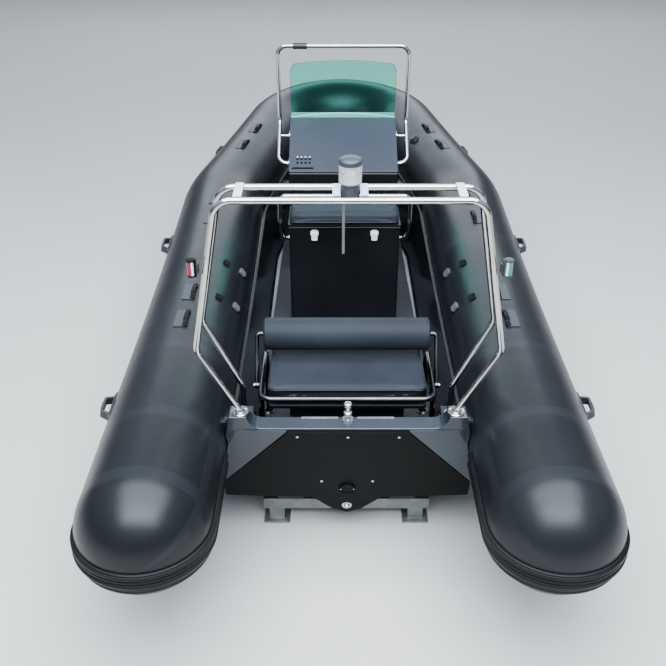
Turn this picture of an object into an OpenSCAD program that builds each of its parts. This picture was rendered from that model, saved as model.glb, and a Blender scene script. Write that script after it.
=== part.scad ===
// Rigid inflatable boat with a steering console, two seats and a light arch, on its low steel cradle.
// Millimetres. +X starboard, +Y forward, +Z up; the origin is on the floor, under the middle of the boat.

/* [Overall] */
// Length from the stern tips of the strakes to the bow
loa = 4800; // [4400:50:5400]
// Width over the two side tubes, without strakes and handles
beam = 2000; // [1900:20:2200]
// Height of the side tubes' centre above the floor
tube_z = 600; // [580:10:700]

/* [Inflatable tube] */
// Diameter of the side tubes
tube_d = 500; // [460:10:520]
// Diameter of the tube at the bow
bow_tube_d = 444; // [400:4:460]
// Rise of the tube's centre from the stern to the bow
bow_rise = 240; // [150:10:300]
// Length of the straight side tubes forward of midships
straight_fore = 550; // [400:10:800]
// Radius of the first, gentle bend of each side tube
shoulder_bend_r = 900; // [600:50:1200]
// Radius of the bow's curve at the tube's centre
bow_bend_r = 489; // [440:5:520]
// Thickness of the rubbing strake
strake_t = 18; // [10:1:26]
// Height of the rubbing strake
strake_h = 110; // [80:5:140]

/* [Hull] */
// Depth of the keel below the tubes' centre
keel_drop = 470; // [440:5:500]
// Depth of the chine at the transom below the tubes' centre
chine_drop = 344; // [330:2:380]
// Deck surface below the tubes' centre
deck_drop = 240; // [220:5:260]
// Thickness of the deck panel
deck_t = 20; // [12:1:30]
// Half width of the deck between the side liners
deck_half = 415; // [380:5:440]
// Half width between the gunwale rims
rim_half = 480; // [460:2:490]

/* [Transom] */
// Rake of the transom, its top further aft
transom_rake = 12; // [8:1:16]
// Depth of the flat shelf along the transom's top
shelf_depth = 97; // [80:1:120]
// Shelf height above the tubes' centre
shelf_rise = 83; // [60:1:110]
// Shoulder height above the tubes' centre
shoulder_rise = 150; // [120:2:180]
// Thickness of the engine pad
pad_t = 14; // [10:1:20]

/* [Light arch] */
// Diameter of the arch tube
arch_d = 25; // [22:1:32]
// Height of the top bars above the tubes' centre
arch_rise = 1062; // [950:10:1150]
// Half width of the arch between the tube centres at its lower bends
arch_bend_half = 590; // [560:5:620]
// Half width of the arch between the tube centres at its top corners
arch_top_half = 476; // [440:2:500]
// Diameter of the all-round light's lens
lens_d = 82; // [60:1:90]

/* [Console] */
// Width of the console
console_w = 645; // [600:5:700]
// Height of the console's dash lower edge above the deck
dash_low = 640; // [600:10:700]
// Height of the console's dash upper edge above the deck
dash_high = 840; // [800:10:900]
// Height of the windscreen's top above the deck
screen_top = 1186; // [1100:10:1250]
// Thickness of the windscreen
screen_t = 6; // [4:1:8]
// Diameter of the console's rail tube
console_rail_d = 25; // [20:1:30]

/* [Helm seat] */
// Width of the seat box at its top
seat_w = 592; // [560:4:640]
// Depth of the seat box, fore and aft
seat_depth = 260; // [240:5:320]
// Height of the seat box to its lid line
seat_h = 558; // [500:2:600]
// Wall thickness of the seat box
seat_wall = 12; // [8:1:20]
// Thickness of the seat's lid
lid_t = 22; // [15:1:30]
// Largest opening angle of the lid
lid_open = 85; // [60:1:90]

/* [Aft bench] */
// Width of the bench cushion
bench_w = 690; // [620:5:700]
// Depth of the bench cushion
bench_depth = 370; // [340:5:400]
// Height of the bench cushion's top above the deck
bench_h = 380; // [340:5:420]
// Diameter of the bolster
bolster_d = 145; // [120:1:160]
// Width of the bolster
bolster_w = 744; // [700:2:780]
// Swing of the backrest from its fore stop to its aft stop
backrest_swing = 60; // [40:1:62]

/* [Cradle] */
// Height of the cross beams
beam_h = 60; // [50:5:80]
// Half length of the cross beams
beam_half = 380; // [340:5:420]

/* [Clearances] */
// Gap between pieces that are bonded or seated face to face
seat_gap = 0.3; // [0.1:0.1:1]
// Running clearance on the radius of a hinge pin
pin_clear = 0.05; // [0.02:0.01:0.1]
// Gap under a closed lid
lid_gap = 1; // [0.5:0.5:3]

/* [Hidden] */

hypalon = [0.10, 0.11, 0.12];
rib_black = [0.05, 0.05, 0.055];
gelcoat = [0.03, 0.03, 0.035];
deck_grey = [0.25, 0.27, 0.29];
steel = [0.75, 0.76, 0.78];
vinyl = [0.22, 0.25, 0.29];
plastic = [0.08, 0.08, 0.09];
zinc = [0.55, 0.57, 0.58];

// Tube plan: straight side, gentle bend, straight taper and a round bow
tube_r = tube_d / 2;
bow_r = bow_tube_d / 2;
tube_x = beam / 2 - tube_r;
strake_seat = 1.2;
tip_y = loa / 2 - strake_t - strake_seat;
dome_y = -tip_y + tube_r;
bow_y = tip_y - bow_r;
bow_centre_y = bow_y - bow_bend_r;
bend_centre = [tube_x - shoulder_bend_r, straight_fore];
centre_gap = [-bend_centre[0], bow_centre_y - straight_fore];
taper = atan2(centre_gap[1], centre_gap[0])
    - acos((shoulder_bend_r - bow_bend_r) / norm(centre_gap));
bend_end_y = straight_fore + shoulder_bend_r * sin(taper);
arc_start_y = bow_centre_y + bow_bend_r * sin(taper);
rise_start_y = -loa / 4;
// The side tubes end where the bow chamber's seam is
chamber_y = bend_end_y + 0.4 * (arc_start_y - bend_end_y);

// Levels above the floor
deck_z = tube_z - deck_drop;
keel_z = tube_z - keel_drop;
chine_z = tube_z - chine_drop;
shelf_z = tube_z + shelf_rise;
shoulder_z = tube_z + shoulder_rise;

// Places along the boat, from midships
transom_top_y = -1690;
transom_deck_y = transom_top_y + shelf_depth + (shelf_z - deck_z) * tan(transom_rake);
chine_share = 0.876;
keel_rise_y = 800;
bow_deck_y = 1420;
fine = 48;

// Arch: feet, bends and top corners
arch_r = arch_d / 2;
arch_bend = 70;
arch_top_z = tube_z + arch_rise;
aft_hoop_y = transom_top_y + 40;
fore_foot_y = -1460;
fore_top_y = aft_hoop_y + 126;
aft_bend_z = tube_z + 441;
fore_bend_z = tube_z + 464;
aft_foot_x = 435;
fore_foot_x = 442;
flange_t = 6;
foot_lift = 0.6 * arch_r;
flange_d = 70;

// Ledge on each liner for the arch's fore foot
ledge_x = rim_half;
ledge_t = 30;
ledge_l = 110;
ledge_reach = 72;

// ---------------------------------------------------------------- helpers

// Plan curve of the tube's centre, moved inboard by q, at a place along the boat
function offset_x(y, q) =
    y <= straight_fore ? tube_x - q
    : y <= straight_fore + (shoulder_bend_r - q) * sin(taper)
        ? bend_centre[0] + sqrt(pow(shoulder_bend_r - q, 2) - pow(y - straight_fore, 2))
    : y <= bow_centre_y + (bow_bend_r - q) * sin(taper)
        ? (bow_bend_r - q - (y - bow_centre_y) * sin(taper)) / cos(taper)
    : sqrt(max(0, pow(bow_bend_r - q, 2) - pow(y - bow_centre_y, 2)));
function centre_x(y) = offset_x(y, 0);
function lean(y) =
    y <= straight_fore ? 0
    : y <= bend_end_y ? asin((y - straight_fore) / shoulder_bend_r)
    : y <= arc_start_y ? taper
    : asin(min(1, (y - bow_centre_y) / bow_bend_r));
function rise(y) = bow_rise * pow(max(0, y - rise_start_y) / (bow_y - rise_start_y), 2);
function centre_z(y) = tube_z + rise(y);
function radius(y) =
    tube_r + (bow_r - tube_r) * max(0, y - straight_fore) / (bow_y - straight_fore);

// A ring station is [centre, outward direction, radius]; outward is level and across the tube
function station(y) = [[centre_x(y), y, centre_z(y)], [cos(lean(y)), sin(lean(y)), 0], radius(y)];
function bow_station(a) = let (y = bow_centre_y + bow_bend_r * cos(a))
    [[bow_bend_r * sin(a), y, centre_z(y)], [sin(a), cos(a), 0], radius(y)];
function mirrored(s) = [[-s[0][0], s[0][1], s[0][2]], [-s[1][0], s[1][1], 0], s[2]];
function ring(s, n) = [for (k = [0:n - 1]) let (a = 360 * k / n)
    s[0] + s[2] * (cos(a) * s[1] + sin(a) * [0, 0, 1])];

// Closed solid through rings of equal length; each ring turns clockwise seen from the last one
// Sides from index turn_at on are cut along their other diagonal, so that a mirrored outline stays mirrored;
// swap cuts each side the other way, to match a neighbour whose rings run backwards
module skin(rings, turn_at = 1e6, swap = false) {
    n = len(rings[0]);
    m = len(rings);
    points = [for (r = rings) for (p = r) p];
    sides = [for (i = [0:m - 2]) for (k = [0:n - 1]) let (a = i * n + k, b = i * n + (k + 1) % n)
        each (k < turn_at) != swap ? [[a, b, b + n], [a, b + n, a + n]] : [[a, b, a + n], [b, b + n, a + n]]];
    caps = [[for (k = [0:n - 1]) n - 1 - k], [for (k = [0:n - 1]) (m - 1) * n + k]];
    polyhedron(points = points, faces = concat(sides, caps), convexity = 6);
}

module rod(a, b, d) {
    v = b - a;
    translate(a) rotate([0, acos(v[2] / norm(v)), atan2(v[1], v[0])])
        cylinder(d = d, h = norm(v), $fn = fine);
}

// Bent metal tube along a chain of corner points, each corner rounded to the bend radius
module bent_tube(points, bend, d) {
    way = bent_way(points, bend);
    normals = carried([for (w = way) w[1]], 0, across(way[0][1]));
    skin([for (i = [0:len(way) - 1]) let (u = normals[i], v = cross(u, way[i][1]))
        [for (k = [0:tube_sides - 1]) let (a = 360 * k / tube_sides)
            way[i][0] + d / 2 * (cos(a) * u + sin(a) * v)]]);
}
tube_sides = 16;
bend_step = 16;
function unit(v) = v / norm(v);
function across(v) = unit(cross(v, abs(v[2]) < 0.9 ? [0, 0, 1] : [1, 0, 0]));
function carried(dirs, i, n) = i == len(dirs) ? []
    : let (u = unit(n - dirs[i] * (n * dirs[i]))) concat([u], carried(dirs, i + 1, u));
// Way points as [place, direction]: both ends, and an arc at each corner
function bent_way(p, bend) = concat(
    [[p[0], unit(p[1] - p[0])]],
    [for (i = [1:len(p) - 2]) each bend_arc(p[i], unit(p[i] - p[i - 1]), unit(p[i + 1] - p[i]), bend)],
    [[p[len(p) - 1], unit(p[len(p) - 1] - p[len(p) - 2])]]);
function bend_arc(corner, u, w, bend) = let (
        turn = acos(u * w), m = cross(unit(cross(u, w)), u), steps = ceil(turn / bend_step),
        c = corner - u * bend * tan(turn / 2) + m * bend)
    [for (j = [0:steps]) let (a = turn * j / steps)
        [c + bend * (u * sin(a) - m * cos(a)), u * cos(a) + m * sin(a)]];

// Plate or box with rounded vertical edges, standing on z = 0
module rounded_block(size, r) {
    linear_extrude(size[2]) rounded_rect([size[0], size[1]], r);
}
module rounded_rect(size, r) {
    for (x = [-1, 1], y = [-1, 1])
        translate([x * (size[0] / 2 - r), y * (size[1] / 2 - r)]) circle(r = r, $fn = fine);
    square([size[0] - 2 * r, size[1]], center = true);
    square([size[0], size[1] - 2 * r], center = true);
}

module both_sides() {
    children();
    mirror([1, 0, 0]) children();
}

// ---------------------------------------------------------------- inflatable tube

ring_n = 32;
dome_steps = 8;
dome_stations = [for (i = [0:dome_steps - 1]) let (a = 2 + i * 88 / dome_steps)
    [[tube_x, dome_y - tube_r * cos(a), tube_z], [1, 0, 0], tube_r * sin(a)]];
side_ys = concat(
    [dome_y, rise_start_y],
    [for (i = [1:6]) rise_start_y + i * (straight_fore - rise_start_y) / 6],
    [for (i = [1:3]) straight_fore + i * (bend_end_y - straight_fore) / 3],
    [for (i = [1:3]) bend_end_y + i * (chamber_y - bend_end_y) / 3]);
side_stations = concat(dome_stations, [for (y = side_ys) station(y)]);
taper_stations = [for (i = [0:4]) station(chamber_y + seat_gap + i * (arc_start_y - chamber_y) / 4)];
arc_steps = 10;
arc_stations = [for (i = [1:arc_steps]) bow_station((90 - taper) * (1 - i / arc_steps))];
half_bow = concat([for (i = [0:3]) taper_stations[i]], [station(arc_start_y)], arc_stations);
bow_stations = concat(half_bow,
    [for (i = [1:len(half_bow) - 1]) mirrored(half_bow[len(half_bow) - 1 - i])]);

module side_tube() { skin([for (s = side_stations) ring(s, ring_n)]); }
module tube_starboard() color(hypalon) side_tube();
module tube_port() color(hypalon) mirror([1, 0, 0]) side_tube();
module tube_bow() color(hypalon) skin([for (s = bow_stations) ring(s, ring_n)]);

// The strake's section: [distance out from the tube, angle round it], with three ribs
strake_half = asin(strake_h / tube_d);
// It runs a clear way below the grab handles' pads
handle_l = 150;
handle_w = 46;
handle_rim = 7;
handle_angle = 11.25;
strake_clear = 12.6;
strake_mid = handle_angle - asin((handle_w / 2 + handle_rim) / tube_r) - strake_half
    - strake_clear / tube_r * 180 / PI;
rib_bed = strake_t * 0.55;
strake_section = [
    [0, -1], [rib_bed, -0.92], [rib_bed, -0.7], [strake_t * 0.8, -0.6], [rib_bed, -0.42],
    [strake_t, -0.2], [strake_t, 0.2], [rib_bed, 0.42], [strake_t * 0.8, 0.6], [rib_bed, 0.7],
    [rib_bed, 0.92], [0, 1], [0, 0.5], [0, 0], [0, -0.5]
];
function strake_ring(s) = [for (p = strake_section)
    let (a = strake_mid + strake_half * p[1], r = s[2] + strake_seat + p[0])
    s[0] + r * (cos(a) * s[1] + sin(a) * [0, 0, 1])];
strake_end_y = transom_top_y - 40;
inner_stations = [for (y = [strake_end_y, strake_end_y - 120])
    [[tube_x, y, tube_z], [-1, 0, 0], tube_r]];
wrap_stations = [for (i = [0:20]) let (a = 180 + i * 180 / 20)
    [[tube_x, dome_y, tube_z], [cos(a), sin(a), 0], tube_r]];
fore_stations = [for (i = [1:len(side_ys) - 1]) station(side_ys[i])];
strake_side = concat(inner_stations, wrap_stations, fore_stations);

module side_strake() { skin([for (s = strake_side) strake_ring(s)]); }
module strake_starboard() color(rib_black) side_strake();
module strake_port() color(rib_black) mirror([1, 0, 0]) side_strake();
module strake_bow() color(rib_black) skin([for (s = bow_stations) strake_ring(s)]);

// A frame on the tube's skin: x along the tube, y round it, z straight out; angle 90 is the top
tube_gap = 0.5;
function skin_z(y) = lookup(y, concat([for (k = side_ys) [k, centre_z(k)]],
    [for (s = half_bow) [s[0][1], s[0][2]]]));
module on_tube(y, angle) {
    s = station(y);
    pitch = atan((skin_z(y + 1) - skin_z(y - 1)) / 2 * cos(lean(y)));
    // The rings stand upright, so a rising tube is a little thinner across its own line
    out = s[2] * (1 - pow(sin(angle), 2) * (1 - cos(pitch)));
    narrowing = atan((radius(y - 1) - radius(y + 1)) / 2);
    translate([s[0][0], y, skin_z(y)]) rotate([0, 0, lean(y)]) rotate([pitch, 0, 0])
        rotate([0, 90 - angle, 0]) translate([0, 0, out + tube_gap]) rotate([-narrowing, 0, 0])
        rotate([0, 0, 90]) children();
}

handle_out = 50;
handle_ys = [-1490, 40, 1290];
module grab_handle() {
    difference() {
        union() {
            translate([0, 0, 4]) cube([handle_l + 40, handle_w + 2 * handle_rim, 8], center = true);
            rotate([90, 0, 0]) translate([0, 0, -handle_w / 2]) linear_extrude(handle_w) polygon([
                [-handle_l / 2, 6], [-handle_l / 2 + 22, handle_out], [handle_l / 2 - 22, handle_out],
                [handle_l / 2, 6]]);
        }
        rotate([90, 0, 0]) translate([0, 0, -handle_w]) linear_extrude(2 * handle_w) polygon([
            [-handle_l / 2 + 30, 8], [-handle_l / 2 + 38, handle_out - 12],
            [handle_l / 2 - 38, handle_out - 12], [handle_l / 2 - 30, 8]]);
    }
}
module grab_handles() color(plastic) both_sides()
    for (y = handle_ys) on_tube(y, handle_angle) grab_handle();

strap_ys = [-1075, -825, 5, 255, 1050, 1315];
strap_angle = 90;
module strap_handle() {
    for (x = [-1, 1]) translate([x * 42, 0, 0]) rounded_block([30, 46, 5], 6);
    translate([0, 0, 14]) cube([100, 30, 3], center = true);
    for (x = [-1, 1]) translate([x * 42, 0, 8]) cube([12, 30, 12], center = true);
}
module strap_handles() color(plastic) both_sides()
    for (y = strap_ys) on_tube(y, strap_angle) strap_handle();

clip_ys = [-790, -440];
ring_shift = -15;
module paddle_clip() {
    rounded_block([46, 46, 5], 6);
    translate([0, 0, 5]) rounded_block([30, 24, 18], 5);
}
module paddle_ring() {
    rounded_block([60, 40, 4], 12);
    translate([0, 0, 4 + seat_gap]) difference() {
        rounded_block([48, 30, 10], 14);
        translate([0, 0, -1]) rounded_block([30, 12, 12], 5.5);
    }
}
module paddle_clips() color(plastic) both_sides() for (y = clip_ys) {
    on_tube(y, 146.25) paddle_clip();
    on_tube(y + ring_shift, 123.75) paddle_ring();
}

// Filling valve of the bow chamber, just forward of its seam
valve_y = 1240;
module valve() color(plastic) on_tube(valve_y, 123.75) {
    cylinder(d = 70, h = 9, $fn = fine);
    cylinder(d = 50, h = 22, $fn = fine);
}

// ---------------------------------------------------------------- hull, liners and deck

// A point of the section at y on the tube's skin: a turns from level inboard (0) to the bottom (90)
edge_angle = 75;
function skin_point(y, a, gap) = let (
        q0 = (radius(y) + gap) * cos(a), yc = y + q0 * sin(lean(y)), r = radius(yc) + gap)
    [offset_x(y, r * cos(a)), centre_z(yc) - r * sin(a)];
function edge_point(y) = skin_point(y, edge_angle, edge_gap);
edge_gap = 1.5;
edge_in = (bow_r + edge_gap) * cos(edge_angle);
stem_y = bow_centre_y + (bow_bend_r - edge_in) * 0.995;
transom_gap_y = transom_top_y + shelf_depth + seat_gap;
function after_transom(p) =
    [p[0], transom_gap_y + (shelf_z - p[1]) * tan(transom_rake), p[1]];
rim_start_y = fore_foot_y + ledge_l / 2 + 10;
hull_ys = concat([rim_start_y],
    [for (i = [1:5]) transom_gap_y + i * (straight_fore - transom_gap_y) / 5],
    [bend_end_y, 900, 1050, 1180, 1300, bow_deck_y, 1530, 1630, 1720, 1800, 1880, 1950, 2010, 2055, 2085],
    [stem_y - 8, stem_y]);
function fore_share(y) = max(0, y - keel_rise_y) / (stem_y - keel_rise_y);
function keel(y) = keel_z + (edge_point(stem_y)[1] - 14 - keel_z) * pow(fore_share(y), 2.3);
hull_top_z = deck_z - deck_t - seat_gap;
function hull_top(y) = hull_top_z
    + (edge_point(stem_y)[1] - 4 - hull_top_z) * pow(max(0, y - bow_deck_y) / (stem_y - bow_deck_y), 0.9);
function well_x(y) = max(6, min(deck_x(y), edge_point(y)[0] - 8));
function half_hull(y) = let (
        k = keel(y), t = fore_share(y), edge = edge_point(y),
        cz = k + (chine_z - keel_z) * (1 - pow(t, 3)) + (edge[1] - k) * pow(t, 3) * 0.8,
        cx = edge[0] * (chine_share - 0.45 * pow(t, 1.6)))
    [[0, k], [cx * 0.1, k + 0.16 * (cz - k)], [cx * 0.25, k + 0.84 * (cz - k) * (1 - 0.3 * t)],
     [cx * 0.6, k + 0.9 * (cz - k) * (1 - 0.3 * t)], [cx, cz], edge, [well_x(y), hull_top(y)]];
function mirror_x(pts) = [for (i = [len(pts) - 1:-1:1]) [-pts[i][0], pts[i][1]]];
function whole_outline(pts) = concat(pts, mirror_x(pts));
function at(y, pts) = [for (p = pts) [p[0], y, p[1]]];

module rigid_hull() color(gelcoat) skin(concat(
    [[for (p = whole_outline(half_hull(transom_deck_y))) after_transom(p)]],
    [for (y = hull_ys) at(y, whole_outline(half_hull(y)))]), len(half_hull(0)));

bed_gap = 0.5;
deck_start_y = after_transom([0, deck_z - deck_t])[1];
deck_ys = concat([deck_start_y], [for (y = hull_ys) if (y <= bow_deck_y) y]);
deck_taper = tube_x - deck_half;
panel_ys = concat([deck_start_y], [for (y = deck_ys) if (y >= straight_fore) y]);
function deck_x(y) = centre_x(y) - deck_taper;
module deck() color(deck_grey) translate([0, 0, deck_z - deck_t + bed_gap]) linear_extrude(deck_t - bed_gap)
    polygon(concat([for (y = panel_ys) [well_x(y) - seat_gap, y]],
        [for (i = [1:len(panel_ys)]) let (y = panel_ys[len(panel_ys) - i]) [-well_x(y) + seat_gap, y]]));

// Side liner: from the deck's edge up the sloping wall to the rim and down the tube's round
liner_base = deck_z - deck_t;
liner_angle = edge_angle - 1;
function liner_section(y) = let (n = 10)
    concat([[deck_x(y), hull_top_z + seat_gap], [deck_x(y), deck_z]],
        [[centre_x(y) - (tube_x - rim_half), skin_point(y, 0, edge_gap)[1]]],
        [for (i = [0:n]) skin_point(y, liner_angle * i / n, edge_gap + 0.5)]);
module liner() {
    skin(concat([[for (p = liner_section(deck_start_y)) after_transom(p)]],
        [for (y = deck_ys) if (y > deck_start_y) at(y, liner_section(y))]));
    // Ledge that carries the fore feet of the arch
    translate([ledge_x, fore_foot_y, tube_z - ledge_t]) linear_extrude(ledge_t) polygon([
        [-ledge_reach, -ledge_l / 2], [12, -ledge_l / 2], [12, ledge_l / 2], [-ledge_reach, ledge_l / 2]]);
}
module liner_starboard() color(gelcoat) liner();
module liner_port() color(gelcoat) mirror([1, 0, 0]) liner();

rim_w = 14;
rim_t = 9;
function rim_section(y) = let (
        x = centre_x(y) - (tube_x - rim_half), z = skin_point(y, 0, edge_gap)[1] + seat_gap)
    [[x, z], [x, z + rim_t], [x + rim_w, z + rim_t], [x + rim_w, z]];
rim_ys = [for (y = deck_ys) if (y >= rim_start_y) y];
module rim() { skin([for (y = rim_ys) at(y, rim_section(y))]); }
module rim_starboard() color(zinc) rim();
module rim_port() color(zinc) mirror([1, 0, 0]) rim();

bow_deck_z = tube_z + 65;
bow_ys = [for (y = hull_ys) if (y >= bow_deck_y && y < 2020) y == bow_deck_y ? y + seat_gap : y];
function angle_at(y, z) = let (r = radius(y) + edge_gap, a = asin((centre_z(y) - z) / r),
        yc = y + r * cos(a) * sin(lean(y)))
    asin((centre_z(yc) - z) / (radius(yc) + edge_gap));
function bow_deck_half(y) = let (top_a = angle_at(y, bow_deck_z), n = 8,
        side = [for (i = [0:n]) skin_point(y, liner_angle + (top_a - liner_angle) * i / n, edge_gap + 0.5)])
    concat([[well_x(y), hull_top(y) + seat_gap + 0.6]], [for (i = [0:n - 1]) side[i]],
        [[side[n][0], bow_deck_z]]);
module bow_deck() color(gelcoat) skin([for (y = bow_ys) let (half = bow_deck_half(y), n = len(half))
    at(y, concat(half, [for (i = [n - 1:-1:0]) [-half[i][0], half[i][1]]]))],
    len(bow_deck_half(bow_ys[0])), swap = true);

cleat_y = 1760;
module bow_cleat() color(steel) translate([0, cleat_y, bow_deck_z + seat_gap]) {
    rounded_block([60, 90, 6], 20);
    translate([0, 0, 5]) cylinder(d = 24, h = 46, $fn = fine);
    rod([-55, 0, 40], [55, 0, 40], 16);
    translate([0, 0, 50]) cylinder(d = 34, h = 10, $fn = fine);
}

eye_y = 1880;
eye_r = 12;
eye_drop = 34;
keel_angle = atan((keel(eye_y + 20) - keel(eye_y - 20)) / 40);
module bow_eye() color(steel) translate([0, eye_y, keel(eye_y)]) rotate([keel_angle, 0, 0])
    translate([0, 0, -seat_gap]) difference() {
        union() {
            translate([-6, 0, -eye_drop]) rotate([0, 90, 0]) cylinder(r = 24, h = 12, $fn = fine);
            translate([-6, -24, -eye_drop]) cube([12, 48, eye_drop]);
            translate([-20, -40, -6]) cube([40, 80, 6]);
        }
        translate([-20, 0, -eye_drop]) rotate([0, 90, 0]) cylinder(r = eye_r, h = 40, $fn = fine);
    }

// ---------------------------------------------------------------- transom

shoulder_in = 347;
shoulder_out = 408;
shoulder_end = 480;
pad_top_half = 245;
pad_low_half = 530;
pad_low_drop = 250;

// Outline seen from astern, from the keel round the starboard side to the shelf; [x, height]
shoulder_arc = [for (i = [0:6]) let (a = 90 * i / 6)
    [shoulder_in + (shoulder_out - shoulder_in) * sin(a),
     shelf_z + (shoulder_z - shelf_z) * (1 - cos(a))]];
transom_edge = edge_point(transom_top_y);
transom_chine = transom_edge[0] * chine_share;
function transom_bottom(lift) = [[0, keel_z + lift],
    [transom_chine * 0.1, keel_z + lift + 0.16 * (chine_z - keel_z)],
    [transom_chine * 0.25, keel_z + lift + 0.84 * (chine_z - keel_z)]];
transom_half = concat(transom_bottom(0),
    [[transom_chine * 0.6, keel_z + 0.9 * (chine_z - keel_z)], [transom_chine, chine_z]],
    [transom_edge, [tube_x, transom_edge[1]], [tube_x, tube_z + 20],
     [tube_x - tube_r + 5, tube_z + 20], [shoulder_end, shoulder_z]],
    [for (i = [0:6]) shoulder_arc[6 - i]]);
pad_half = concat(transom_bottom(8), [[pad_low_half, chine_z + 6],
    [pad_low_half, tube_z - pad_low_drop], [pad_top_half, shelf_z - 9]]);
// A point of an outline on the raked plane that lies a distance forward of the transom's face
function raked(p, forward) = [p[0], transom_top_y + forward + (shelf_z - p[1]) * tan(transom_rake), p[1]];
module raked_plate(half, aft, fore) {
    low = keel_z - 50;
    high = shoulder_z + 50;
    intersection() {
        translate([0, transom_top_y + 300, 0]) rotate([90, 0, 0]) linear_extrude(500)
            polygon(whole_outline(half));
        side_profile([for (p = [[aft, low], [fore, low], [fore, high], [aft, high]])
            let (q = raked([0, p[1]], p[0])) [q[1], q[2]]], 2 * beam);
    }
}
module transom() color(gelcoat) difference() {
    raked_plate(transom_half, pad_t, shelf_depth);
    for (x = [-tube_x, tube_x]) translate([x, -loa / 2, tube_z]) rotate([-90, 0, 0])
        cylinder(r = tube_r + edge_gap, h = loa / 2, $fn = 96);
}
module transom_fairings() color(gelcoat) both_sides() cheek();
// Fairing between the pad's slanting edge and the tube
cheek_gap = 5;
cheek_in = -seat_gap - 0.5;
module cheek() {
    low_z = tube_z - pad_low_drop;
    hull() for (p = [
        raked([pad_top_half + cheek_gap, shelf_z - 6], 1), raked([pad_low_half + cheek_gap, low_z], 1),
        raked([pad_top_half + cheek_gap, shelf_z - 6], pad_t + cheek_in),
        raked([pad_low_half + cheek_gap, low_z], pad_t + cheek_in),
        raked([shoulder_x_low, low_z], pad_t + cheek_in),
        raked([shoulder_x_high, shelf_z - 6], pad_t + cheek_in)])
        translate(p) cube(0.5);
}
shoulder_x_low = pad_low_half + 10;
shoulder_x_high = pad_low_half - 52;
module engine_pad() color(plastic) difference() {
    raked_plate(pad_half, 0, pad_t - seat_gap);
    for (p = [[drain_z, plug_d / 2], [cover_z, cover_r]]) on_transom(0, p[0])
        translate([0, 0, -1]) cylinder(r = p[1] + plug_clear, h = 2 * pad_t, $fn = fine);
}

// A frame on the transom's own face under the pad, its z straight aft
module on_transom(x, z) {
    translate(raked([x, z], pad_t)) rotate([90 + transom_rake, 0, 0]) translate([0, 0, seat_gap]) children();
}
drain_z = tube_z - 412;
plug_d = 45;
plug_clear = 2;
module drain_plug() color(steel) on_transom(0, drain_z) {
    cylinder(d = plug_d, h = pad_t + 4, $fn = fine);
    cylinder(d = 24, h = pad_t + 12, $fn = fine);
}
cover_z = tube_z - 288;
cover_r = 34;
module drain_cover() color(plastic) on_transom(0, cover_z) difference() {
    cylinder(r = cover_r, h = pad_t + 8, $fn = fine);
    translate([-cover_r, -2 * cover_r - 6, pad_t - 2]) cube([2 * cover_r, 2 * cover_r, 20]);
    translate([0, -6, pad_t - 2]) cylinder(r = cover_r - 12, h = 20, $fn = fine);
}

post_y = transom_top_y + shelf_depth - 22;
post_d = 35;
module tow_post() color(steel) translate([0, post_y, shelf_z + seat_gap]) {
    rounded_block([60, 44, 6], 8);
    cylinder(d = 22, h = 88, $fn = fine);
    for (z = [34, 76]) translate([0, 0, z - 9]) cylinder(d = post_d, h = 18, $fn = fine);
}

// ---------------------------------------------------------------- light arch

function hoop_half(foot_x, foot_y, foot_z, knee, bend_z, bend_y, top_y) = concat(
    [[foot_x, foot_y, foot_z]], knee,
    [[arch_bend_half, bend_y, bend_z], [arch_top_half, top_y, arch_top_z]]);
function whole(half) = concat(half,
    [for (i = [1:len(half)]) let (p = half[len(half) - i]) [-p[0], p[1], p[2]]]);

module arch_aft_hoop() color(steel) {
    bent_tube(whole(hoop_half(aft_foot_x, aft_hoop_y, shoulder_z + seat_gap + foot_lift, [],
        aft_bend_z, aft_hoop_y, aft_hoop_y)), arch_bend, arch_d);
    both_sides() translate([aft_foot_x, aft_hoop_y, shoulder_z + seat_gap])
        cylinder(d = flange_d, h = flange_t + foot_lift, $fn = fine);
}
module arch_fore_hoop() color(steel) {
    bent_tube(whole(hoop_half(fore_foot_x, fore_foot_y, tube_z + seat_gap + flange_t,
        [[fore_foot_x, fore_foot_y, tube_z + 150]], fore_bend_z, fore_foot_y, fore_top_y)),
        arch_bend, arch_d);
    both_sides() translate([fore_foot_x, fore_foot_y, tube_z + seat_gap])
        cylinder(d = 56, h = flange_t, $fn = fine);
}
link_x = 396;
link_w = 30;
link_t = 5;
module arch_links() color(steel) both_sides()
    translate([link_x - link_w / 2, aft_hoop_y, arch_top_z + arch_r + seat_gap])
        cube([link_w, fore_top_y - aft_hoop_y, link_t]);

rod_d = 10;
rod_x = -24;
rod_drop = 190;
module arch_rod() color(steel)
    translate([rod_x, aft_hoop_y, arch_top_z - arch_r - seat_gap - rod_drop])
        cylinder(d = rod_d, h = rod_drop, $fn = fine);

light_y = (aft_hoop_y + fore_top_y) / 2;
light_gap = fore_top_y - aft_hoop_y - arch_d;
base_d = 69;
base_z = arch_top_z - 20;
module light_base() {
    color(plastic) translate([0, light_y, base_z]) cylinder(d = base_d, h = 62, $fn = fine);
    color(zinc) both_sides() translate([base_d / 2 - 4, light_y, arch_top_z + arch_r + seat_gap]) {
        translate([0, -light_gap / 2 - 20, 0]) cube([38, light_gap + 40, 8]);
        translate([0, -light_gap / 2 + 4, -30]) cube([38, light_gap - 8, 31]);
    }
}
lens_z = base_z + 62 + seat_gap;
lens_h = 68;
cap_h = 32;
module all_round_light() {
    color([0.9, 0.92, 0.94]) translate([0, light_y, lens_z]) cylinder(d = lens_d, h = lens_h, $fn = fine);
    color(plastic) translate([0, light_y, lens_z + lens_h - 1])
        cylinder(d = lens_d + 4, h = cap_h, $fn = fine);
}

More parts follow.
